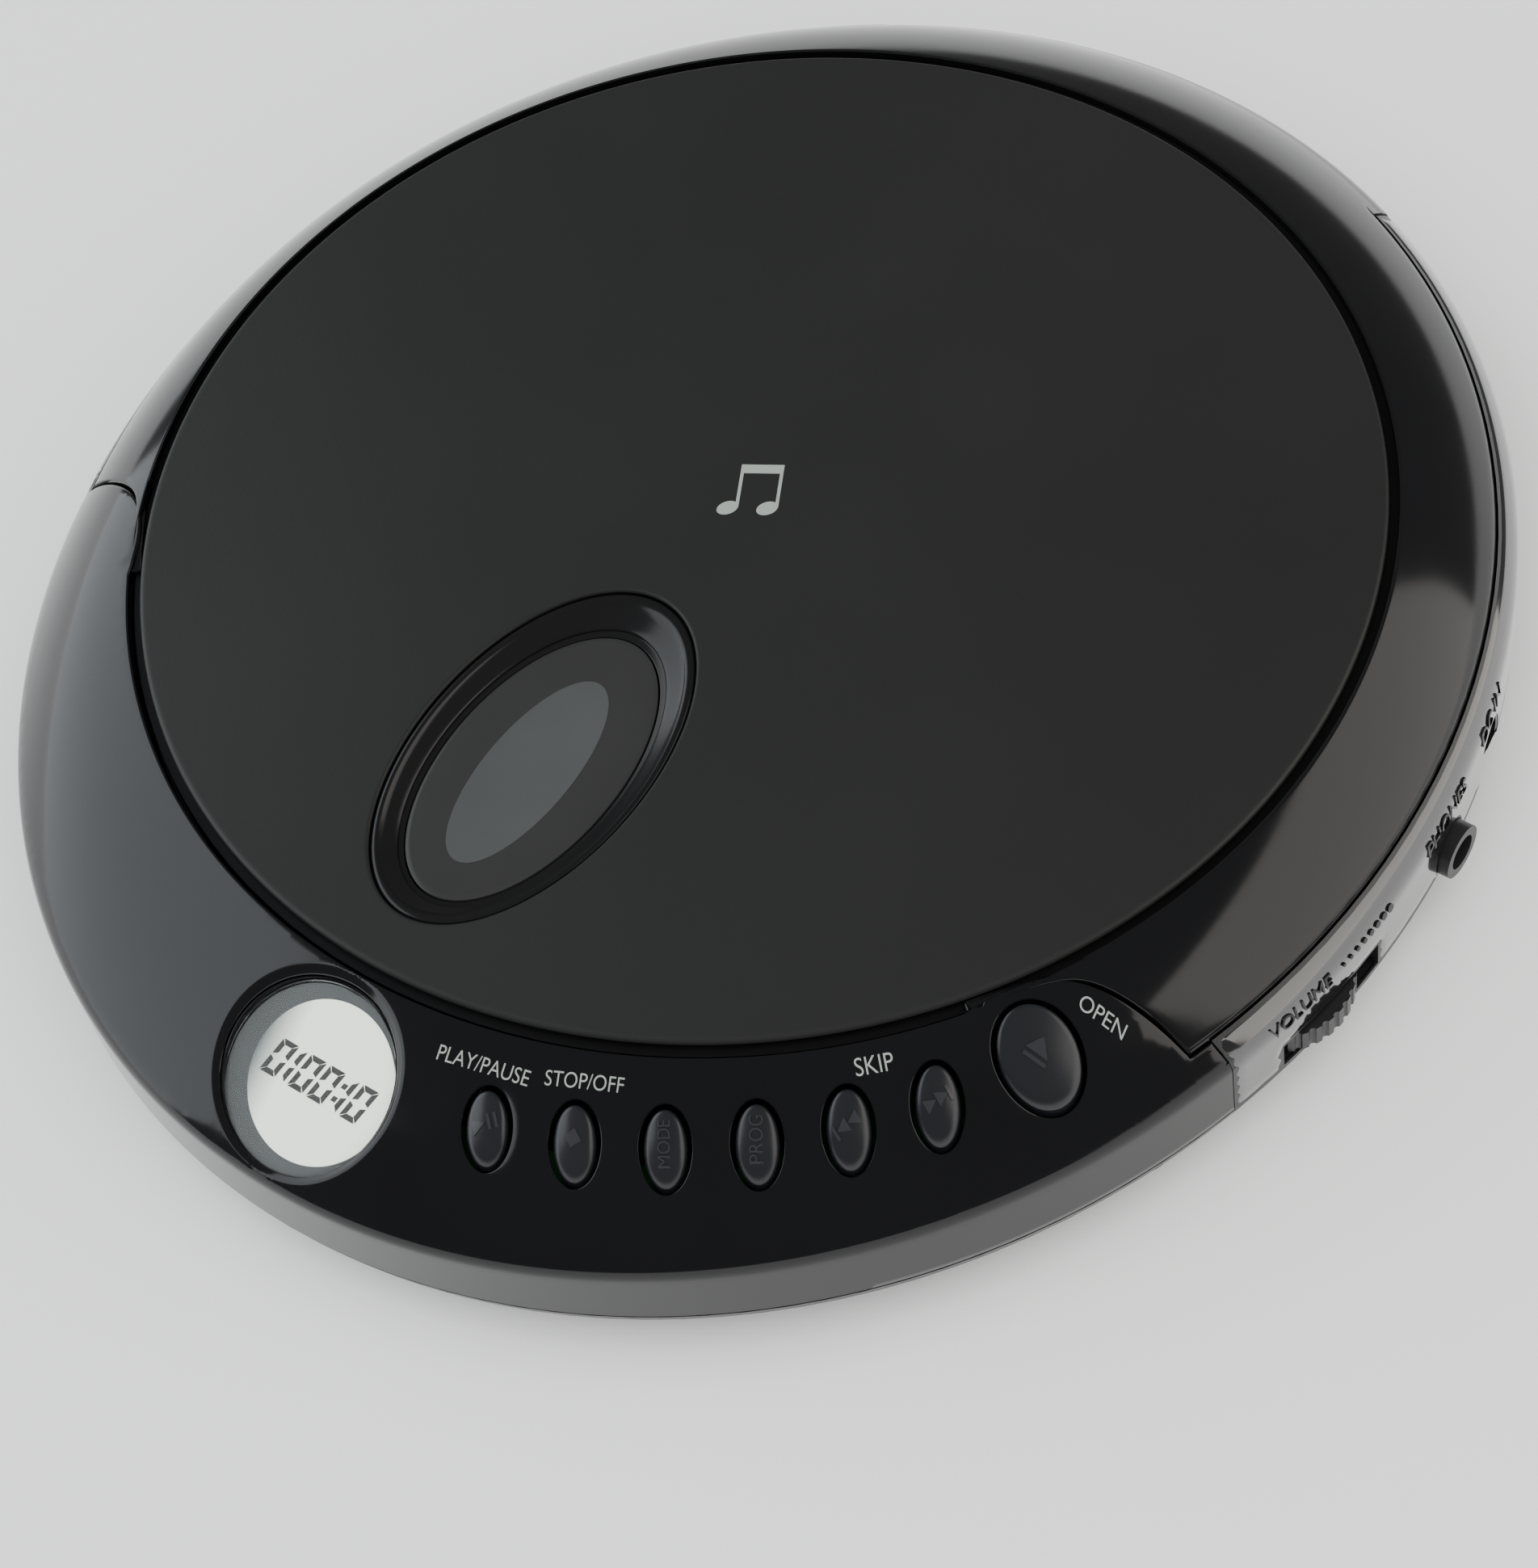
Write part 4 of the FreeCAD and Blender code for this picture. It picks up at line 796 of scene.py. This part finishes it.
def rounded_box(x0, x1, y0, y1, r, n=6):
    pts = []
    for cx, cy, start in ((x1 - r, y1 - r, 0), (x0 + r, y1 - r, 90), (x0 + r, y0 + r, 180),
                          (x1 - r, y0 + r, 270)):
        for i in range(n + 1):
            a = math.radians(start + 90 * i / n)
            pts.append((cx + r * math.cos(a), cy + r * math.sin(a)))
    out = []
    for p, q in zip(pts, pts[1:] + pts[:1]):
        steps = max(int(math.dist(p, q) / 0.8), 1)
        for i in range(steps):
            out.append((p[0] + (q[0] - p[0]) * i / steps, p[1] + (q[1] - p[1]) * i / steps))
    return np.array(out)


# ------------------------------------------------------------ lettering and symbols
def text_shape(body, width, offset=0.0, tall=1.0):
    """Flat lettering, centred on the origin and width mm wide."""
    curve = bpy.data.curves.new("lettering", "FONT")
    curve.body = body
    curve.size = 1.0
    curve.offset = offset
    curve.resolution_u = 5
    holder = add_object("lettering", curve)
    mesh = bpy.data.meshes.new_from_object(
        holder.evaluated_get(bpy.context.evaluated_depsgraph_get()))
    points = np.array([v.co[:2] for v in mesh.vertices])
    faces = [tuple(p.vertices) for p in mesh.polygons]
    bpy.data.objects.remove(holder)
    bpy.data.meshes.remove(mesh)
    points -= (points.min(0) + points.max(0)) / 2
    return points * (width / np.ptp(points[:, 0])) * np.array([1.0, tall]), faces


def polygons(*loops):
    """Flat symbol made of separate outlines."""
    points, faces = [], []
    for loop in loops:
        faces.append(tuple(range(len(points), len(points) + len(loop))))
        points.extend(loop)
    return np.array(points, float), faces


def lay(name, shape, x, y, turn, height, lift, thick, cuts=0):
    """Lays a flat shape on a surface given by its height in plan."""
    points, faces = shape
    px, py = turned(x, y, points[:, 0], points[:, 1], turn)
    pz = height(px, py) + lift
    bm = bmesh.new()
    verts = [bm.verts.new((a * MM, b * MM, h * MM)) for a, b, h in zip(px, py, pz)]
    for face in faces:
        try:
            bm.faces.new([verts[i] for i in face])
        except ValueError:
            continue
    bmesh.ops.remove_doubles(bm, verts=bm.verts, dist=0.001 * MM)
    bmesh.ops.triangulate(bm, faces=bm.faces)
    if cuts:
        bmesh.ops.subdivide_edges(bm, edges=bm.edges, cuts=cuts, use_grid_fill=True)
        px, py = (np.array([v.co[i] for v in bm.verts]) / MM for i in (0, 1))
        for v, h in zip(bm.verts, height(px, py) + lift):
            v.co.z = h * MM
    for face in bm.faces:
        face.normal_update()
        if face.normal.z < 0:
            face.normal_flip()
    side = bmesh.ops.extrude_face_region(bm, geom=list(bm.faces))
    for v in [g for g in side["geom"] if isinstance(g, bmesh.types.BMVert)]:
        v.co.z -= thick * MM
    bmesh.ops.recalc_face_normals(bm, faces=bm.faces)
    mesh = bpy.data.meshes.new(name)
    bm.to_mesh(mesh)
    bm.free()
    obj = add_object(name, mesh)
    tidy_mesh(obj, 25)
    return obj


def bar(x0, x1, y0, y1):
    return [(x0, y0), (x1, y0), (x1, y1), (x0, y1)]


def arrow(x, length, height):
    return [(x, -height / 2), (x + length, 0), (x, height / 2)]


def note_symbol(width):
    """Plain pair of joined notes."""
    def head(cx):
        return [tuple(p) for p in oval_loop(cx, 0.0, 0.20, 0.145, 0.45, 24)]
    loops = [head(0.2), head(0.92), bar(0.335, 0.395, 0.02, 0.98), bar(1.055, 1.115, 0.02, 0.98),
             bar(0.335, 1.115, 0.80, 1.00)]
    points, faces = polygons(*loops)
    points -= (points.min(0) + points.max(0)) / 2
    return points * width / np.ptp(points[:, 0]), faces


# ------------------------------------------------------------ buttons
def push_button(name, az, s, long_r, short_r, turn):
    """Domed oval cap on the slope of the rim; gives its middle and its height rule."""
    cx, cy = spot(az, s)
    z0 = float(rim_z(cx, cy))
    sx, sy = rim_slopes(cx, cy, 0.4)
    t = circle_angles(96)
    u, v = long_r * np.cos(t), short_r * np.sin(t)

    def height(x, y):
        dx, dy = x - cx, y - cy
        a = (dx * math.cos(turn) + dy * math.sin(turn)) / long_r
        b = (-dx * math.sin(turn) + dy * math.cos(turn)) / short_r
        return z0 + sx * dx + sy * dy + 0.06 + 0.62 * (1 - np.clip(a * a + b * b, 0, 1))

    rings = []
    for f in (0.02, 0.12, 0.24, 0.36, 0.46, 0.55, 0.62, 0.68, 0.74, 0.80, 0.85, 0.89, 0.925,
              0.95, 0.97, 0.985, 0.995, 1.0):
        x, y = turned(cx, cy, u * f, v * f, turn)
        rings.append(list(zip(x, y, height(x, y) - rounding((1 - f) * np.hypot(u, v), 0.62))))
    x, y = turned(cx, cy, u, v, turn)
    for drop in (0.5, 1.0, 1.9):
        rings.append(list(zip(x, y, z0 + sx * (x - cx) + sy * (y - cy) - drop)))
    cap = paint(ring_stack(name + "_cap", rings), BUTTON_GLOSS)
    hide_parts(name)
    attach(cap, name)
    return cx, cy, height


ICONS = {
    "play_pause_button": polygons(arrow(-1.2, 1.2, 1.25), bar(0.2, 0.48, -0.62, 0.62),
                                  bar(0.82, 1.10, -0.62, 0.62)),
    "stop_button": polygons(bar(-0.55, 0.55, -0.55, 0.55)),
    "skip_back_button": polygons(bar(-1.42, -1.14, -0.58, 0.58),
                                 [(0.0, -0.58), (0.0, 0.58), (-1.12, 0.0)],
                                 [(1.16, -0.58), (1.16, 0.58), (0.04, 0.0)]),
    "skip_forward_button": polygons([(-1.16, -0.58), (-0.04, 0.0), (-1.16, 0.58)],
                                    [(0.0, -0.58), (1.12, 0.0), (0.0, 0.58)],
                                    bar(1.14, 1.42, -0.58, 0.58)),
    "open_button": polygons([(-1.05, -0.30), (1.05, -0.30), (0.0, 1.25)],
                            bar(-1.05, 1.05, -0.95, -0.62)),
}
ICON_TURN = {                # degrees
    "play_pause_button": 46, "stop_button": 62, "skip_back_button": 68,
    "skip_forward_button": 66, "open_button": 5, "mode_button": 122, "program_button": 122}


def all_buttons():
    ICONS["mode_button"] = text_shape("MODE", 3.6, tall=1.25)
    ICONS["program_button"] = text_shape("PROG", 3.6, tall=1.25)
    for name, az, s, long_r, short_r, turn in BUTTONS:
        cx, cy, height = push_button(name, az, s, long_r, short_r, turn)
        angle = math.radians(ICON_TURN[name])
        icon = lay(name + "_symbol", ICONS[name], cx, cy, angle, height, 0.14, 0.4, cuts=3)
        # the symbols' lighter colour is a painted highlight
        paint(icon, EMBOSS_PAINTED_HIGHLIGHT)
        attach(icon, name)


# ------------------------------------------------------------ display
def display_matrix():
    """Frame of the display: X across, Y up the slope, Z out of it."""
    z = Vector((-DISPLAY_SIDE_SLOPE, -DISPLAY_SLOPE, 1)).normalized()
    x = Vector((1, 0, 0))
    return Matrix.Translation(DISPLAY_POINT) @ Matrix((x, z.cross(x), z)).transposed().to_4x4()


DISPLAY_MATRIX = display_matrix()


def on_slope(u, v, w):
    """Point on the display's sloping plane, moved straight up or down to w mm from it."""
    return DISPLAY_MATRIX @ Vector((u, v, 0)) + Vector((0, 0, w / DISPLAY_COS))


def on_display(name, shape, w, thick):
    """Flat piece in the display's own plane, w mm above the rim's tangent plane."""
    points, faces = shape
    return prism(name, [on_slope(u, v, w) for u, v in points],
                 [on_slope(u, v, w - thick) for u, v in points], faces)


# In the display's own plane, in mm; the painted shade on the cell runs between two distances from
# the middle.
LCD_X, LCD_Y, LCD_R, LCD_PAINTED_SHADE = 1.05, 0.25, 7.6, (-6.4, -3.0)
DIGITS_AT, DIGITS_WIDTH = (0.85, 0.3), 12.3
DIGIT_WIDTH, DIGIT_HEIGHT, DIGIT_BAR, DIGIT_SLANT = 1.74, 3.4, 0.50, 0.27
DIGIT_STEP = {"0": 2.12, "1": 1.02, ":": 0.55}
SEGMENTS = {"0": "abcdef", "1": "bc"}


def digit_loops(char, x0):
    """Seven-segment character as separate slanted bars."""
    w, h, t, g = DIGIT_WIDTH, DIGIT_HEIGHT, DIGIT_BAR, 0.08
    m = h / 2
    if char == "1":
        x0 -= w - 0.62       # only the right-hand bars show
    if char == ":":
        return [slant(bar(x0, x0 + t, h * k - t / 2, h * k + t / 2)) for k in (0.3, 0.7)]
    loops = {
        "a": [(g, h), (w - g, h), (w - t, h - t), (t, h - t)],
        "d": [(t, t), (w - t, t), (w - g, 0), (g, 0)],
        "f": [(0, m + g), (t, m + g + t / 2), (t, h - t - g / 2), (0, h - g)],
        "e": [(0, g), (t, t + g / 2), (t, m - g - t / 2), (0, m - g)],
        "b": [(w, m + g), (w, h - g), (w - t, h - t - g / 2), (w - t, m + g + t / 2)],
        "c": [(w, g), (w, m - g), (w - t, m - g - t / 2), (w - t, t + g / 2)],
    }
    return [slant([(x0 + x, y) for x, y in loops[k]]) for k in SEGMENTS[char]]


def slant(loop):
    return [(x + DIGIT_SLANT * y, y) for x, y in loop]


def display():
    disc = polygons([tuple(p) for p in oval_loop(0, 0, DISPLAY_R - 0.1, DISPLAY_R - 0.1, 0, 128)])
    base = on_display("display_mask_plate", disc, -DISPLAY_SINK - 0.75, 0.5)
    paint(base, MASK)
    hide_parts("display_mask")
    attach(base, "base")
    sleeve = paint(display_sleeve(), GLOSS)
    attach(sleeve, "base")
    lcd_loop = [tuple(p) for p in oval_loop(LCD_X, LCD_Y, LCD_R, LCD_R, 0)]
    lcd = on_display("display_glass_cell", polygons(lcd_loop), -DISPLAY_SINK - 0.68, 0.3)
    paint(lcd, lcd_painted_shade_material())
    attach(lcd, "base")
    loops, x = [], 0.0
    for char in "0100:10":
        loops += digit_loops(char, x)
        x += DIGIT_STEP[char]
    digits, faces = polygons(*loops)
    digits = digits - (digits.min(0) + digits.max(0)) / 2
    digits = digits * (DIGITS_WIDTH / np.ptp(digits[:, 0])) + np.array(DIGITS_AT)
    marks = on_display("display_digits", (digits, faces), -DISPLAY_SINK - 0.66, 0.05)
    paint(marks, DIGIT)
    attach(marks, "base")
    cover = dome_disc("display_cover", DISPLAY_R - 0.12, -DISPLAY_SINK + 0.02, 0.5)
    paint(cover, clear_material())
    cover.visible_shadow = False
    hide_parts("display_lens")
    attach(cover, "base")


def display_sleeve():
    """Dark wall round the display, from just under the panel's surface down past the cell."""
    outer, inner = display_oval(0.13, 180), display_oval(-0.02, 180)
    top = panel_z(outer, []) - 0.22
    floor_z = float(DISPLAY_POINT.z) + DISPLAY_SLOPE * (outer[:, 1] - DISPLAY_Y) - 3.0
    rings = [list(zip(loop[:, 0], loop[:, 1], z)) for loop, z in (
        (inner, floor_z), (inner, top), (outer, top), (outer, floor_z))]
    return ring_stack("display_sleeve", rings, filled=False)


def dome_disc(name, radius, top, thick):
    """Clear cover, very slightly domed, in the display's plane."""
    steps = [(0.02, 0.0), (0.3, 0.01), (0.6, 0.04), (0.85, 0.08), (0.96, 0.11), (0.99, 0.15),
             (1.0, 0.24), (1.0, thick), (0.6, thick), (0.02, thick)]
    return ring_stack(name, [
        [on_slope(radius * f * math.cos(a), radius * f * math.sin(a), top - drop)
         for a in circle_angles(128)] for f, drop in steps])


def lcd_painted_shade_material():
    """Pale reflective cell with painted shade, which makes it darker and cooler towards its left
    side.
    """
    mat = material("lcd_cell_painted_shade", (0.36, 0.40, 0.36), 0.5, bump=0.02, bump_scale=4000,
                   specular=0.1)
    tree = mat.node_tree
    shader = tree.nodes["Principled BSDF"]
    coords = tree.nodes.new("ShaderNodeTexCoord")
    split = tree.nodes.new("ShaderNodeSeparateXYZ")
    span = tree.nodes.new("ShaderNodeMapRange")
    span.inputs["From Min"].default_value = LCD_PAINTED_SHADE[0] * MM
    span.inputs["From Max"].default_value = LCD_PAINTED_SHADE[1] * MM
    ramp = tree.nodes.new("ShaderNodeValToRGB")
    # painted shade: the ramp's dark end darkens the cell's left side
    ramp.color_ramp.elements[0].color = (0.10, 0.115, 0.12, 1)
    ramp.color_ramp.elements[1].color = (0.66, 0.69, 0.62, 1)
    tree.links.new(coords.outputs["Object"], split.inputs["Vector"])
    tree.links.new(split.outputs["X"], span.inputs["Value"])
    tree.links.new(span.outputs["Result"], ramp.inputs["Fac"])
    tree.links.new(ramp.outputs["Color"], shader.inputs["Base Color"])
    return mat


def clear_material():
    """Clear cover plastic, with an index low enough to keep its reflection faint."""
    mat = material("display_clear", (0.96, 0.98, 0.97), 0.02, vary=0.01, specular=0.12)
    shader = mat.node_tree.nodes["Principled BSDF"]
    shader.inputs["Transmission Weight"].default_value = 1.0
    shader.inputs["IOR"].default_value = 1.13
    return mat


# ------------------------------------------------------------ build the pieces
def build():
    panel = paint(control_panel(), GLOSS)
    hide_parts("control_panel")
    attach(panel, "base")

    rim = paint(lid_rim(), GLOSS)
    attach(rim, "lid")

    plate = paint(lid_plate(), PLATE)
    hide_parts("lid_panel")
    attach(plate, "lid")

    bezel = paint(window_bezel(), BEZEL)
    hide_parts("window_ring")
    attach(bezel, "lid")

    glass = paint(window_glass(), SURROUND)
    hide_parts("window_lens")
    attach(glass, "lid")

    clear = paint(window_oval(), smoked_material())
    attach(clear, "lid")

    wall = paint(case_wall(), WALL)
    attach(wall, "base")

    all_buttons()
    display()
    labels()


def smoked_material():
    """Grey where the lit mechanism shows through the clear oval."""
    return material("smoked_clear", (0.054, 0.057, 0.057), 0.14, vary=0.08, rough_vary=0.03,
                    bump=0.03, specular=0.25)


def labels():
    """Printed words on the panel and the side, and the note on the lid; turns in degrees."""
    for name, body, x, y, turn, width in (
            ("label_play", "PLAY/PAUSE", 15.4, -62.2, 13, 9.0),
            ("label_stop", "STOP/OFF", 24.3, -58.9, 24, 7.2),
            ("label_skip", "SKIP", 45.4, -44.3, 43.5, 3.4),
            ("label_open", "OPEN", 59.3, -29.2, 5, 4.2)):
        text = lay(name, text_shape(body, width, offset=-0.006, tall=1.14), x, y,
                   math.radians(turn), rim_z, 0.03, 0.10)
        paint(text, LABEL)
        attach(text, "base")
    side_marks()
    note = lay("note_glyph", note_symbol(6.0), 0.0, SPINDLE_Y, math.radians(28), dome_z,
               0.02, 0.10)
    paint(note, LABEL)
    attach(note, "lid")


def side_marks():
    """Raised lettering and a row of growing dots on the right side wall."""
    dots = [[tuple(p) for p in oval_loop(i * 1.05, 0, 0.2 + 0.035 * i, 0.2 + 0.035 * i, 0, 16)]
            for i in range(8)]
    for name, shape, y_mid, z_mid in (
            ("side_volume", text_shape("VOLUME", 8.0, tall=1.1), -15.4, 14.6),
            ("side_phones", text_shape("PHONES", 8.6, tall=1.1), 9.2, 14.3),
            ("side_power", text_shape("DC IN", 6.2, tall=1.1), 21.4, 14.3),
            ("side_dots", polygons(*dots), -9.6, 14.6)):
        points, faces = shape
        front, back = [[(*wall_point(y_mid + u, z_mid + v, out), z_mid + v) for u, v in points]
                       for out in (0.26, -0.25)]
        mark = paint(prism(name, front, back, faces), GLOSS)
        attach(mark, "base")


def wall_point(y, z, out):
    """Point on the right side wall at this y and height, out mm proud of the wall."""
    steps = np.array(shoulder(30))
    s = float(np.interp(-z, -steps[:, 1], steps[:, 0]))
    az = level_az(s, y, 1.2)
    r = float(radius_at(az, s)) + out
    return r * math.cos(az), SPINDLE_Y + r * math.sin(az)


build()

# ------------------------------------------------------------ carried-over CAD nodes
FINISH = {slot: finish for finish, slots in (
    (GLOSS, "control_panel window_lens display_lens"),
    (BUTTON_GLOSS, "button_plastic window_ring"),
    (PLATE, "lid_panel"),
    (GROOVE_PAINTED_SHADE, "lid_shell"),
    (SATIN, "middle_case bottom_case battery_door deck_plastic latch_plastic volume_wheel "
            "display_mask"),
    # the lid's shell carries the painted shade of the groove
    (INNER, "post_plastic switch_plastic jack_plastic pot_body chassis_plastic "
            "turntable_plastic"),
    (CHIP, "display_module chip_plastic pickup_plastic"),
    (RUBBER, "foot_rubber damper_rubber"),
    (STEEL, "spring_steel contact_steel hinge_steel rod_steel"),
    (DARK_STEEL, "screw_steel"),
    (CAN, "capacitor_can crystal_can motor_can"),
    (GOLD, "jack_pin"),
    (BOARD, "circuit_board"),
    (OBJECTIVE, "objective_glass"),
    (AMBER, "cable_film"),
    (CREAM, "gear_plastic"),
    (RED, "wire_cover")) for slot in slots.split()}
for entry in frame["record"]["subparts"]:
    obj = frame["nodes"][entry["node"]]
    finish = FINISH[entry["material_slot"]]
    if not obj.data.materials:
        obj.data.materials.append(finish)
    for i in range(len(obj.data.materials)):
        obj.data.materials[i] = finish

# ------------------------------------------------------------ floor, light and camera
floor_mesh = bpy.data.meshes.new("floor")
floor_mesh.from_pydata([(-4, -4, 0), (4, -4, 0), (4, 4, 0), (-4, 4, 0)], [], [(0, 1, 2, 3)])
floor = add_object("floor", floor_mesh)
floor.data.materials.append(material("paper_floor", (0.90, 0.90, 0.90), 0.75, vary=0.01,
                                     vary_scale=3, bump=0.05, bump_scale=300))

world = bpy.data.worlds.new("studio")
world.use_nodes = True
world.node_tree.nodes["Background"].inputs["Color"].default_value = (1.0, 1.0, 1.0, 1)
world.node_tree.nodes["Background"].inputs["Strength"].default_value = 0.16
bpy.context.scene.world = world


def soft_box(name, azimuth, elevation, distance, width, height, power, color, in_gloss=True):
    """Large soft light aimed at the object from a compass direction; -90 is the front."""
    a, e = math.radians(azimuth), math.radians(elevation)
    way = Vector((math.cos(a) * math.cos(e), math.sin(a) * math.cos(e), math.sin(e)))
    light = bpy.data.lights.new(name, "AREA")
    light.shape = "RECTANGLE"
    light.size, light.size_y = width, height
    light.energy = power
    light.color = color
    obj = add_object(name, light)
    obj.location = way * distance
    obj.rotation_euler = way.to_track_quat("Z", "Y").to_euler()
    obj.visible_glossy = in_gloss


soft_box("box_left", -160, 27, 1.0, 1.25, 1.05, 9.6, (0.90, 0.95, 1.0))
soft_box("box_right", 30, 21, 1.0, 1.05, 0.80, 5.6, (1.0, 0.96, 0.90))
soft_box("overhead", -50, 66, 1.9, 3.0, 3.0, 82, (1.0, 1.0, 1.0), in_gloss=False)

CAMERA_AT = Vector((0.1607, -0.16197, 0.29727))
CAMERA_RIGHT = Vector((0.8098, 0.5724, -0.1289))
CAMERA_DOWN = Vector((0.4118, -0.7111, -0.5699))
CAMERA_FORWARD = Vector((-0.4178, 0.4084, -0.8115))
camera_data = bpy.data.cameras.new("camera")
camera_data.lens = 83.6
camera_data.sensor_width = 36.0
camera = add_object("camera", camera_data)
camera.matrix_world = Matrix.Translation(CAMERA_AT) @ Matrix(
    (CAMERA_RIGHT, -CAMERA_DOWN, -CAMERA_FORWARD)).transposed().to_4x4()
bpy.context.scene.camera = camera
